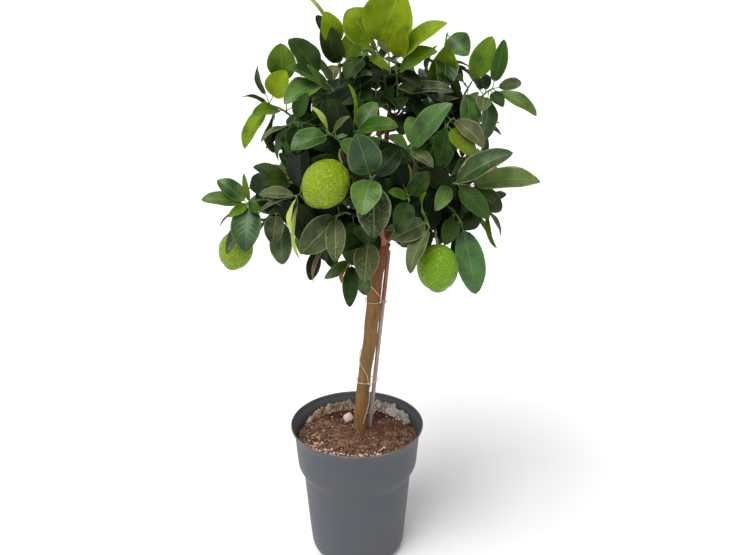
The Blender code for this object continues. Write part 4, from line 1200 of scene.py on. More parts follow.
SHOOTS: dict[str, Shoot] = {
    "top_bright": Shoot("top", 1.0, (3.6, -4.0, 72.3), (2.7, -5.0, 75.3), [
        Leaf(1.0, (5.6, -7.5, 81.7), 6.2, FRONT, Age.YOUNG),
        Leaf(1.0, (-0.8, -4.8, 79.7), 4.4, FRONT, Age.YOUNG),
        Leaf(0.8, (1.0, -7.0, 75.3), 1.3, SLOPE, Age.FRESH, 0.5),
    ]),
    "top_middle": Shoot("left_top", 0.9, (-0.5, -5.0, 70.3), (1.5, -5.5, 74.8), [
        Leaf(0.9, (-1.0, -7.5, 71.8), 2.6, SLOPE, Age.DARK, 0.6),
        Leaf(1.0, (4.0, -7.0, 74.8), 1.4, SLOPE, Age.FRESH, 0.5),
        Leaf(0.6, (4.8, -3.5, 71.8), 1.6, SKY, Age.DARK),
        Leaf(0.35, (2.2, -7.0, 72.3), 1.0, SLOPE, Age.MATURE, 0.4),
        Leaf(0.2, (2.2, -7.4, 69.3), 2.2, FRONT, Age.DARK, 0.5),
    ]),
    "top_left_inner": Shoot("left_top", 0.85, (-1.7, -2.5, 69.8), (-2.0, -3.0, 75.6), [
        Leaf(0.65, (1.5, -5.0, 77.3), 2.9, FRONT, Age.FRESH),
        Leaf(0.5, (-3.7, -4.5, 78.3), 2.7, FRONT, Age.DARK),
        Leaf(1.0, (-3.4, -5.0, 79.4), 2.7, FRONT, Age.YOUNG, 0.6),
        Leaf(1.0, (-5.8, -3.5, 81.6), 1.1, RIGHT, Age.PALE),
        Leaf(1.0, (-4.8, -1.0, 79.3), 1.5, FRONT, Age.DARK),
    ]),
    "top_left": Shoot("left_top", 0.95, (-1.8, -6.0, 69.3), (-4.0, -7.0, 71.8), [
        Leaf(1.0, (-7.5, -8.0, 76.3), 3.2, SLOPE, Age.DARK, 0.7),
        Leaf(0.3, (-7.7, -9.5, 73.3), 2.4, SLOPE, Age.MATURE),
        Leaf(0.85, (-8.0, -11.0, 69.3), 3.0, SLOPE, Age.MATURE, 0.7),
        Leaf(1.0, (-7.0, -5.5, 74.3), 1.5, FRONT, Age.FRESH),
    ]),
    "left_top": Shoot("left_top", 1.0, (-7.0, -6.0, 66.6), (-10.5, -7.0, 68.8), [
        Leaf(0.4, (-8.7, -7.0, 75.8), 3.4, FRONT, Age.FRESH, 3.9),
        Leaf(1.0, (-8.0, -8.5, 72.7), 3.0, FRONT, Age.YOUNG, 1.2),
        Leaf(1.0, (-12.0, -4.5, 73.3), 1.4, LEFT, Age.DARK, 1.4),
        Leaf(0.9, (-13.8, -5.5, 69.7), 1.2, SKY, Age.DARK, 0.7),
        Leaf(0.55, (-12.0, -9.5, 67.8), 2.0, SLOPE, Age.FRESH, 0.5),
        Leaf(1.0, (-13.5, -8.5, 63.7), 2.3, (-0.5, -0.85, 0.2), Age.YOUNG, 0.8),
    ]),
    "left_mid": Shoot("left_top", 0.9, (-4.5, -9.0, 66.3), (-7.5, -10.0, 66.8), [
        Leaf(0.9, (-5.2, -10.5, 70.3), 1.7, FRONT, Age.DARK),
        Leaf(1.0, (-11.0, -11.0, 64.8), 1.4, SKY, Age.DUSTY),
        Leaf(0.7, (-6.5, -12.5, 63.6), 2.9, FRONT, Age.DARK, 0.6),
        Leaf(1.0, (-9.6, -7.5, 62.0), 2.0, LEFT, Age.DARK),
    ]),
    "front_left_high": Shoot("front", 1.0, (-1.0, -13.0, 64.3), (-2.6, -14.5, 66.1), [
        Leaf(1.0, (-6.8, -16.5, 64.6), 3.0, SLOPE, Age.MATURE, 0.6),
        # These two narrow leaves, a pale one and a dusty one, paint the lit rim of a folded leaf seen
        # edge-on: a painted highlight.
        Leaf(1.0, (-4.5, -15.0, 69.1), 0.9, RIGHT, Age.PALE, 0.5),
        Leaf(0.9, (-0.4, -15.5, 68.1), 0.8, SLOPE, Age.DUSTY, 0.4),
        Leaf(0.6, (-3.0, -11.5, 69.8), 2.4, FRONT, Age.DARK),
    ]),
    "front_high": Shoot("front", 1.0, (0.4, -11.0, 64.1), (0.1, -13.5, 66.3), [
        Leaf(1.0, (-0.2, -15.0, 71.5), 0.9, RIGHT, Age.YOUNG, 0.5),
        Leaf(1.0, (5.0, -16.0, 67.1), 2.3, SLOPE, Age.FRESH, 0.6),
        Leaf(0.85, (-3.2, -12.6, 66.3), 1.8, FRONT, Age.MATURE, 0.5),
        Leaf(0.6, (2.7, -10.5, 69.3), 2.2, SLOPE, Age.MATURE),
    ]),
    "right_top": Shoot("top", 0.95, (5.5, -5.5, 68.3), (5.0, -6.0, 74.1), [
        Leaf(1.0, (10.8, -8.0, 78.2), 2.9, SLOPE, Age.YOUNG, 0.7),
        Leaf(0.7, (9.7, -8.7, 75.0), 2.9, SLOPE, Age.FRESH, 0.6),
        Leaf(0.3, (11.7, -9.5, 70.6), 2.0, SLOPE, Age.DUSTY, 0.7),
        Leaf(0.55, (3.4, -5.5, 68.7), 1.4, FRONT, Age.DARK),
        Leaf(1.0, (5.8, -8.6, 77.6), 2.3, FRONT, Age.YOUNG, 0.6),
        Leaf(0.5, (7.4, -7.4, 70.2), 2.2, SLOPE, Age.DUSTY, 0.5),
    ]),
    "right_top_out": Shoot("right_top", 1.0, (10.6, -3.2, 69.8), (11.4, -4.0, 77.1), [
        Leaf(1.0, (13.8, -6.0, 74.5), 3.0, FRONT, Age.MATURE, 0.5),
        Leaf(0.05, (11.2, -6.8, 75.5), 3.5, FRONT, Age.YOUNG, 0.7),
        Leaf(0.4, (13.8, -2.5, 71.8), 1.8, FRONT, Age.DARK),
        Leaf(0.55, (15.0, -2.0, 72.8), 0.9, SKY, Age.DARK),
    ]),
    "right_mid_top": Shoot("right_top", 0.95, (13.0, -4.2, 67.8), (14.5, -5.0, 71.3), [
        Leaf(1.0, (16.6, -6.0, 76.6), 2.9, FRONT, Age.FRESH, 0.7),
        Leaf(0.5, (10.6, -8.0, 69.3), 1.7, SLOPE, Age.DUSTY),
        Leaf(0.4, (15.4, -6.5, 67.3), 1.2, FRONT, Age.DRY, 0.5),
        Leaf(0.8, (12.3, -7.0, 71.9), 1.8, SLOPE, Age.DARK),
    ]),
    "right_out_top": Shoot("right_top", 0.85, (15.2, -5.2, 68.9), (17.0, -6.0, 70.6), [
        Leaf(1.0, (17.8, -7.4, 76.2), 1.9, FRONT, Age.FRESH),
        Leaf(1.0, (20.8, -4.5, 71.3), 1.5, FRONT, Age.DUSTY),
        Leaf(1.0, (22.3, -7.5, 67.6), 1.9, SLOPE, Age.MATURE),
        Leaf(0.5, (15.4, -8.0, 68.1), 2.0, FRONT, Age.DUSTY, 0.5),
        Leaf(0.85, (18.0, -8.0, 68.6), 1.6, FRONT, Age.DARK, 0.5),
        Leaf(0.6, (16.4, -3.5, 72.3), 1.3, FRONT, Age.DARK, 0.5),
    ]),
    "right_centre": Shoot("right_top", 0.6, (7.0, -12.6, 62.8), (6.5, -14.0, 64.3), [
        Leaf(1.0, (10.8, -16.0, 69.5), 3.2, SLOPE, Age.GLOSSY, 0.5),
        Leaf(0.8, (9.0, -16.5, 62.7), 1.5, SLOPE, Age.DUSTY, 0.5),
        Leaf(1.0, (4.0, -15.5, 65.9), 1.4, SLOPE, Age.MATURE, 0.4),
        Leaf(0.45, (4.2, -15.0, 63.1), 1.6, FRONT, Age.DARK, 0.4),
    ]),
    "right_shoulder": Shoot("right_top", 0.9, (11.0, -7.6, 65.8), (12.0, -9.0, 67.3), [
        Leaf(1.0, (15.3, -12.0, 64.3), 2.3, SLOPE, Age.DUSTY, 0.4),
        Leaf(0.35, (14.3, -12.0, 63.2), 2.4, FRONT, Age.FRESH),
        Leaf(0.7, (14.2, -6.5, 64.8), 1.9, RIGHT, Age.DARK),
    ]),
    "right_out": Shoot("right", 1.0, (10.2, -12.0, 59.6), (13.6, -13.0, 59.9), [
        Leaf(0.45, (18.2, -14.0, 64.0), 3.0, SLOPE, Age.SCORCHED, 0.6),
        Leaf(1.0, (22.4, -11.5, 60.3), 3.2, SLOPE, Age.SCORCHED, 0.7),
        Leaf(1.0, (17.7, -12.5, 56.7), 2.5, FRONT, Age.DARK, 0.5),
        Leaf(0.6, (15.7, -15.5, 56.5), 2.4, FRONT, Age.DARK, 0.6),
        Leaf(0.35, (9.5, -16.0, 57.6), 1.9, FRONT, Age.MATURE, 0.5),
        Leaf(0.9, (16.0, -9.5, 66.0), 1.8, RIGHT, Age.DARK, 1.6),
    ]),
    "right_low_out": Shoot("right", 0.95, (14.5, -8.4, 57.1), (16.4, -9.2, 56.5), [
        Leaf(1.0, (17.7, -9.8, 51.3), 1.0, LEFT, Age.FRESH),
        Leaf(0.9, (18.8, -7.5, 52.3), 1.0, RIGHT, Age.DUSTY),
        Leaf(0.8, (19.2, -7.0, 57.9), 1.3, SLOPE, Age.DARK),
    ]),
    "right_low": Shoot("right", 0.9, (11.5, -10.2, 56.9), (13.0, -12.2, 55.2), [
        Leaf(1.0, (15.0, -13.5, 46.5), 3.5, FRONT, Age.GLOSSY, 1.0),
        Leaf(0.8, (13.0, -10.6, 48.6), 2.1, FRONT, Age.DARK),
        Leaf(0.5, (10.8, -13.6, 52.7), 2.2, FRONT, Age.DARK),
    ]),
    "right_lime_shoot": Shoot("right", 0.8, (8.2, -13.0, 56.5), (8.8, -16.0, 55.5), [
        Leaf(1.0, (6.4, -18.6, 50.9), 2.2, (-0.6, -0.75, 0.3), Age.DUSTY, 0.4),
        Leaf(0.65, (4.4, -17.2, 54.5), 2.6, FRONT, Age.DUSTY, 0.4),
        Leaf(0.5, (5.6, -14.8, 52.9), 1.9, FRONT, Age.MATURE),
        Leaf(0.4, (8.0, -17.5, 59.9), 1.2, LEFT, Age.FRESH, 0.5),
    ]),
    "centre_right": Shoot("right", 0.6, (6.0, -12.6, 59.3), (6.5, -15.0, 58.5), [
        Leaf(1.0, (4.9, -17.2, 55.1), 2.4, FRONT, Age.DARK, 0.4),
        Leaf(0.5, (6.4, -15.5, 62.7), 0.8, RIGHT, Age.YOUNG, 0.5),
        Leaf(0.75, (8.6, -15.5, 61.9), 2.2, FRONT, Age.DARK, 0.4),
        Leaf(0.9, (4.0, -15.8, 59.7), 1.5, SLOPE, Age.FRESH, 0.4),
    ]),
    "centre_front": Shoot("front", 0.7, (2.6, -14.2, 59.5), (2.0, -17.0, 61.6), [
        Leaf(1.0, (0.5, -19.0, 66.5), 3.8, FRONT, Age.GLOSSY, 0.5),
        Leaf(0.9, (1.0, -20.3, 58.1), 3.4, SLOPE, Age.MATURE, 0.4),
        Leaf(0.5, (2.4, -18.5, 55.0), 3.9, FRONT, Age.SPOTTED, 0.6),
        Leaf(0.8, (5.2, -14.0, 64.1), 2.6, FRONT, Age.DARK, 0.5),
    ]),
    "centre_low": Shoot("front", 0.45, (3.6, -9.6, 53.7), (1.7, -12.2, 53.3), [
        Leaf(1.0, (1.3, -15.0, 48.7), 3.1, FRONT, Age.SPOTTED, 0.6),
        Leaf(1.0, (-1.4, -14.0, 52.3), 2.0, SLOPE, Age.DARK, 0.5),
    ]),
    "low_front": Shoot("front", 0.3, (2.2, -7.4, 50.7), (-0.4, -10.6, 49.9), [
        Leaf(1.0, (-0.6, -13.0, 44.7), 2.0, FRONT, Age.DARK, 0.7),
        Leaf(0.7, (1.5, -9.5, 44.9), 2.1, FRONT, Age.MATURE),
        Leaf(1.0, (-1.5, -14.0, 48.2), 1.5, LEFT, Age.DRY, 0.6),
        Leaf(0.9, (-3.6, -12.6, 48.3), 1.5, FRONT, Age.MATURE, 0.6),
    ]),
    "low_left_front": Shoot("front", 0.62, (-0.2, -12.4, 56.3), (-2.0, -15.8, 56.9), [
        Leaf(1.0, (-2.0, -18.2, 52.1), 2.3, FRONT, Age.SPOTTED, 0.4),
        Leaf(0.7, (-6.0, -16.6, 52.6), 3.6, FRONT, Age.DUSTY, 0.7),
        Leaf(0.9, (-5.0, -15.6, 48.7), 1.0, LEFT, Age.DRY, 3.6),
    ]),
    "left_front": Shoot("left", 0.85, (-5.8, -13.2, 58.3), (-6.3, -17.4, 59.5), [
        Leaf(1.0, (-6.8, -20.0, 56.1), 1.2, LEFT, Age.PALE, 0.4),
        Leaf(0.9, (-6.2, -19.2, 52.7), 1.0, LEFT, Age.PALE, 1.2),
        Leaf(0.75, (-10.6, -18.5, 57.8), 1.0, SKY, Age.DUSTY, 0.4),
        Leaf(0.9, (-10.6, -16.6, 59.6), 1.5, SLOPE, Age.DUSTY, 0.4),
    ]),
    "left_inner": Shoot("left", 0.7, (-4.5, -10.0, 59.3), (-7.5, -12.0, 60.0), [
        Leaf(1.0, (-10.4, -14.0, 60.5), 2.8, SLOPE, Age.DARK, 0.3),
        Leaf(0.9, (-12.0, -11.0, 61.9), 1.9, SLOPE, Age.DARK),
        Leaf(0.8, (-10.0, -9.5, 61.9), 0.8, SKY, Age.DUSTY),
        Leaf(0.6, (-9.0, -9.5, 63.3), 1.4, SLOPE, Age.DARK),
    ]),
    "left_shoot": Shoot("left", 1.0, (-9.0, -12.0, 57.8), (-12.0, -16.0, 58.3), [
        Leaf(1.0, (-15.4, -15.5, 61.0), 2.2, SLOPE, Age.MATURE, 0.6),
        Leaf(0.95, (-12.1, -17.0, 61.9), 0.7, FRONT, Age.FRESH, 0.4),
        Leaf(1.0, (-17.0, -17.0, 59.1), 1.9, SLOPE, Age.MATURE, 0.8),
        Leaf(1.0, (-12.0, -19.0, 53.5), 3.5, FRONT, Age.GLOSSY, 0.4),
        Leaf(1.0, (-13.9, -18.0, 57.3), 1.1, FRONT, Age.FRESH, 0.3),
        Leaf(0.9, (-15.1, -17.5, 56.2), 0.8, LEFT, Age.DUSTY),
        Leaf(0.9, (-10.6, -18.0, 57.8), 1.2, FRONT, Age.FRESH, 0.3),
        Leaf(0.9, (-14.2, -18.8, 53.2), 1.4, FRONT, Age.DUSTY, 2.6),
    ]),
    "left_low": Shoot("left", 0.8, (-7.0, -9.2, 55.5), (-9.4, -12.0, 56.3), [
        Leaf(1.0, (-9.6, -14.2, 53.1), 2.4, FRONT, Age.DUSTY, 0.4),
        Leaf(0.75, (-9.0, -11.6, 49.7), 2.8, FRONT, Age.SCORCHED, 1.2),
    ]),
    "low_left_back": Shoot("left", 0.45, (-3.6, -5.2, 52.9), (-4.6, -8.0, 51.5), [
        Leaf(1.0, (-5.8, -8.6, 46.7), 1.8, FRONT, Age.DARK),
        Leaf(0.6, (-2.4, -8.4, 48.1), 1.8, FRONT, Age.DARK),
    ]),
}

# Shoots of the back, the sides and the shaded middle, whose leaves follow the spiral that a twig grows them
# on: the limb, how far along it, the twig's two ends, how many leaves, their length and their width.
SPIRAL_SHOOTS: dict[str, tuple[str, float, Point, Point, int, float, float]] = {
    "back_low_left": ("back_left", 0.4, (-4.0, 6.6, 52.3), (-8.2, 11.4, 50.9), 6, 7.4, 3.4),
    "back_low_middle": ("back_left", 0.25, (1.2, 7.0, 51.7), (-0.4, 13.0, 49.9), 6, 7.4, 3.4),
    "back_low_right": ("back_right", 0.3, (6.8, 7.0, 52.3), (10.4, 12.0, 50.9), 6, 7.4, 3.3),
    "right_low_side": ("right", 0.5, (9.8, 1.4, 54.3), (14.2, 3.6, 53.9), 6, 7.0, 3.2),
    "back_left_middle": ("back_left", 0.7, (-5.0, 8.0, 56.7), (-8.0, 12.8, 56.7), 6, 7.4, 3.4),
    "back_middle": ("back_left", 0.55, (-0.6, 9.4, 56.7), (-1.6, 15.4, 57.3), 7, 7.4, 3.4),
    "back_right_middle": ("back_right", 0.6, (7.0, 9.4, 56.7), (8.2, 15.2, 57.5), 7, 7.4, 3.4),
    "right_side": ("back_right", 0.7, (11.6, 4.6, 58.7), (16.0, 7.0, 59.7), 6, 7.2, 3.3),
    "back_left_high": ("back_left", 1.0, (-3.6, 8.6, 63.3), (-5.4, 13.0, 65.9), 6, 7.0, 3.2),
    "back_high": ("back_top", 0.7, (1.6, 8.6, 63.9), (0.8, 14.4, 66.3), 7, 7.2, 3.3),
    "back_right_high": ("back_right", 1.0, (9.4, 9.0, 63.9), (11.2, 13.4, 65.9), 6, 7.0, 3.2),
    "right_side_high": ("right_top", 0.8, (12.0, 2.4, 63.7), (15.6, 5.0, 65.1), 6, 6.6, 3.0),
    "back_top_left": ("back_top", 0.9, (-1.4, 5.6, 68.3), (-3.8, 8.4, 70.9), 5, 6.4, 2.9),
    "back_top_middle": ("back_top", 1.0, (2.8, 6.4, 69.3), (2.6, 8.8, 73.3), 5, 6.2, 2.9),
    "back_top_right": ("back_top", 0.85, (7.4, 5.6, 68.1), (9.8, 8.0, 71.3), 5, 6.4, 2.9),
    "top_back": ("top", 0.9, (4.6, 1.0, 70.7), (4.4, 3.4, 75.1), 5, 5.8, 2.6),
    "left_side_inner": ("left_top", 0.6, (-3.6, -1.6, 60.7), (-6.0, 0.4, 62.9), 5, 5.6, 2.9),
    "front_inner": ("front", 0.55, (-1.2, -7.6, 57.9), (-2.2, -9.0, 62.3), 5, 5.6, 3.0),
    "right_inner": ("right_top", 0.5, (9.0, -5.6, 59.9), (11.4, -7.0, 62.7), 5, 5.8, 3.0),
    "left_low_side": ("left", 0.55, (-6.4, 1.4, 54.3), (-10.6, 3.4, 55.5), 6, 6.8, 3.2),
    "low_inner": ("left", 0.3, (-0.6, -1.6, 52.1), (-3.2, -2.6, 51.1), 5, 5.6, 2.8),
}
SPIRAL_STEP = math.radians(137.5)
SPIRAL_FIRST = 0.3
FIRST_OPENING, LAST_OPENING = 62, 28  # degrees between a twig and its leaves
SPIRAL_AGES = (Age.DARK, Age.MATURE, Age.DARK, Age.DUSTY, Age.DARK, Age.GLOSSY, Age.FRESH)

# Every other twig also has shaded leaves, which grow towards the middle of the crown.
CROWN_MIDDLE = Vector((2.0, 0.0, 60.3))
INNER_LEAF_PLACES = (0.2, 0.5, 0.8)
INNER_LEAF_LENGTH = 6.4
INNER_LEAF_WIDTH = 3.0
# Inner leaves below this height wear SHADED, a painted shade; higher ones take INNER_AGES.
HIGH_CROWN = 60.0
INNER_AGES = (Age.MATURE, Age.DARK)

# The gap in the crown that the fork shows through: how far right of the fork its middle is, half its width,
# its top, and how much higher that is for each cm nearer the front.
FORK_ASIDE = 0.6
FORK_GAP = 3.0
FORK_TOP = 51.5
FORK_SLOPE = 0.26

LIMES: dict[str, LimePlan] = {
    "lime_front": LimePlan(
        "front", 1.0, (-1.5, -15.4, 63.9), (-3.0, -17.0, 60.8), (-5.0, -18.2, 58.5), 5.9, 5.35
    ),
    "lime_left": LimePlan(
        "left", 1.0, (-13.0, -14.6, 55.7), (-13.8, -15.4, 52.7), (-14.4, -15.8, 50.7), 4.7, 4.1
    ),
    "lime_right": LimePlan(
        "right", 0.9, (9.7, -14.6, 54.2), (10.0, -15.0, 50.4), (10.1, -15.2, 47.6), 5.8, 5.1
    ),
}
RIPENESS = (1.0, 0.5, 0.25)


# ------------------------------------------------------------------------------------------
# The wood
# ------------------------------------------------------------------------------------------


def twig_route(root: Sequence[float], tip: Sequence[float], steps: int = 2) -> list[Vector]:
    """A twig rises a little in its middle."""
    root, tip = Vector(root), Vector(tip)
    middle = (root + tip) / 2 + UP * (0.08 * (tip - root).length)
    return smooth_route([root, middle, tip], steps)


def spur_route(limb: str, fraction: float, joint: Sequence[float], heading: Vector) -> list[Vector]:
    """From a limb's middle to the joint, ending in line with what goes on from there."""
    heading = heading.normalized()
    end = Vector(joint) - heading * JOINT_GAP
    start = along_route(smooth_route(LIMBS[limb][0], 4), fraction)
    stub = end - heading * SPUR_STUB
    reach = (stub - start).length
    bend = start.lerp(stub, 0.55) - UP * (0.1 * reach)
    return [start, bend, stub, end] if reach > SHORT_SPUR else [start, stub, end]


def shoot_spur(shoot: Shoot) -> list[Vector]:
    """The spur that carries a shoot."""
    twig = twig_route(shoot.root, shoot.tip)
    return spur_route(shoot.limb, shoot.along, shoot.root, twig[1] - twig[0])


@dataclass
class Wood:
    """The stem, its limbs, and the spurs that carry the shoots and the limes."""

    stem_radii: tuple[float, float] = (0.92, 1.05)
    spur_radii: tuple[float, float] = (0.2, 0.15)
    knots: tuple[tuple[float, float, float, float], ...] = (
        (22.7, 200.0, 0.10, 0.7), (27.3, 330.0, 0.10, 0.5), (31.5, 20.0, 0.12, 0.8),
        (34.1, 250.0, 0.16, 0.6), (34.6, 340.0, 0.12, 0.5), (38.7, 350.0, 0.22, 0.9),
        (42.9, 200.0, 0.12, 0.7), (46.1, 300.0, 0.14, 0.8),
    )
    knot_spread: float = 38.0
    flare: float = 0.16
    flare_at: float = 0.09
    flare_length: float = 0.03
    collar: float = 0.22
    collar_fade: float = 16.0
    stem_skin: Layers = ((0.03, 0.4, 5.0),)
    stem_grain: Layers = ((0.06, 1.1, 0.0),)
    limb_skin: Layers = ((0.09, 1.0, 8.0), (0.05, 0.4, 3.0))
    stem_sides: int = 28
    limb_sides: int = 14
    spur_sides: int = 8
    stem_bark: BarkFinish = BarkFinish("stem_bark", paint(132, 96, 52), paint(98, 80, 42), paint(106, 52, 22))
    limb_bark: BarkFinish = BarkFinish(
        "limb_bark", paint(112, 70, 44), paint(80, 66, 38), paint(134, 82, 50), 0.413, 0.463
    )
    spur_bark: GreenWoodFinish = GreenWoodFinish("spur_bark", paint(64, 72, 38), paint(96, 72, 48))

    def build(self, shoots: dict[str, Shoot]) -> None:
        """Adds all of the wood as one piece."""
        piece = Piece("stem_and_limbs")
        stem = smooth_route(STEM_PATH, 12)
        piece.tube(stem, self._stem_radius, self.stem_sides, self.stem_bark, self._swell)
        for points, radii in LIMBS.values():
            limb = smooth_route(points, 10)
            piece.tube(limb, self._limb_radius(*radii), self.limb_sides, self.limb_bark, self._limb_swell)
        paths = [shoot_spur(shoot) for shoot in shoots.values()]
        for lime in LIMES.values():
            heading = Vector(lime.middle) - Vector(lime.top)
            paths.append(spur_route(lime.limb, lime.along, lime.top, heading))
        for path in paths:
            piece.tube(smooth_route(path, 4), taper(*self.spur_radii), self.spur_sides, self.spur_bark)
        piece.finish(["trunk"], "bark", 60.0)

    def _stem_radius(self, fraction: float) -> float:
        """The stem's radius, with a flared foot."""
        start, end = self.stem_radii
        flare = self.flare * math.exp(-(((fraction - self.flare_at) / self.flare_length) ** 2))
        return start + (end - start) * fraction + flare

    def _limb_radius(self, start: float, end: float) -> Callable[[float], float]:
        """A limb's radius, which swells where it leaves the fork."""
        even = taper(start, end)
        return lambda fraction: even(fraction) + self.collar * math.exp(-fraction * self.collar_fade)

    def _swell(self, centre: Vector, place: Vector) -> float:
        """The stem's uneven skin and its knots."""
        out = place - centre
        turn = math.degrees(math.atan2(out.y, out.x))
        stretched = Vector((place.x, place.y, place.z * 0.35))
        grown = bumpy(place, self.stem_skin, bumpy(stretched, self.stem_grain, 1.0))
        for height, angle, rise, size in self.knots:
            off = (turn - angle + 180.0) % 360.0 - 180.0
            near = (off / self.knot_spread) ** 2 + ((place.z / CM - height) / size) ** 2
            grown += rise * math.exp(-near)
        return grown

    def _limb_swell(self, centre: Vector, place: Vector) -> float:
        """A limb's uneven skin."""
        return bumpy(place, self.limb_skin, 1.0)


# ------------------------------------------------------------------------------------------
# The leaves
# ------------------------------------------------------------------------------------------


def spiral_leaves(root: Point, tip: Point, count: int, length: float, width: float) -> list[Leaf]:
    """Leaves set round a twig, each 137.5 degrees on from the last, opening less towards the tip."""
    route = twig_route(root, tip)
    axis = (Vector(tip) - Vector(root)).normalized()
    side = axis.orthogonal().normalized()
    leaves = []
    for index in range(count):
        grown = index / (count - 1)
        at = SPIRAL_FIRST + (1 - SPIRAL_FIRST) * grown
        turn = Matrix.Rotation(index * SPIRAL_STEP, 3, axis)
        opening = math.radians(FIRST_OPENING + (LAST_OPENING - FIRST_OPENING) * grown)
        heading = axis * math.cos(opening) + (turn @ side) * math.sin(opening)
        reach = length * (1.05 - 0.25 * grown)
        end = along_route(route, at) + heading * reach - UP * (0.06 * reach)
        face = axis * 0.5 + UP
        leaves.append(Leaf(at, tuple(end), width * (1.05 - 0.2 * grown), tuple(face), SPIRAL_AGES[index]))
    return leaves


def hides_fork(tip: Sequence[float]) -> bool:
    """Whether a shaded leaf would hang in front of the fork, which stays in sight under the crown."""
    in_line = abs(tip[0] - FORK[0] - FORK_ASIDE) < FORK_GAP
    return in_line and tip[1] < 0.0 and tip[2] < FORK_TOP - FORK_SLOPE * tip[1]


def inner_leaves(root: Point, tip: Point) -> list[Leaf]:
    """Shaded leaves that grow from a twig towards the middle of the crown and face out of it."""
    route = twig_route(root, tip)
    leaves = []
    for index, at in enumerate(INNER_LEAF_PLACES):
        base = along_route(route, at)
        inward = (CROWN_MIDDLE - base).normalized()
        turn = Matrix.Rotation(index * SPIRAL_STEP + base.z, 3, inward)
        heading = (inward * 0.7 + turn @ inward.orthogonal().normalized()).normalized()
        face = UP * 0.9 - inward
        end = base + heading * INNER_LEAF_LENGTH
        # Low in the crown an inner leaf wears SHADED, a painted shade.
        age = INNER_AGES[index % 2] if base.z > HIGH_CROWN else Age.SHADED
        if not hides_fork(end):
            leaves.append(Leaf(at, tuple(end), INNER_LEAF_WIDTH, tuple(face), age, 1.0))
    return leaves


def all_shoots() -> dict[str, Shoot]:
    """The shoots of the plan, with the leaves that follow a rule worked out."""
    shoots = {name: shoot._replace(leaves=shoot.leaves + inner_leaves(shoot.root, shoot.tip))
              for name, shoot in SHOOTS.items()}
    for name, (limb, along, root, tip, count, length, width) in SPIRAL_SHOOTS.items():
        shoots[name] = Shoot(limb, along, root, tip, spiral_leaves(root, tip, count, length, width))
    return shoots


def leaf_frame(base: Vector, tip: Vector, face: Sequence[float]) -> tuple[float, Vector, Vector, Vector]:
    """A leaf's length, and the directions along it, across it and out of its upper face."""
    axis = (tip - base).normalized()
    across = axis.cross(Vector(face)).normalized()
    return (tip - base).length, axis, across, across.cross(axis)


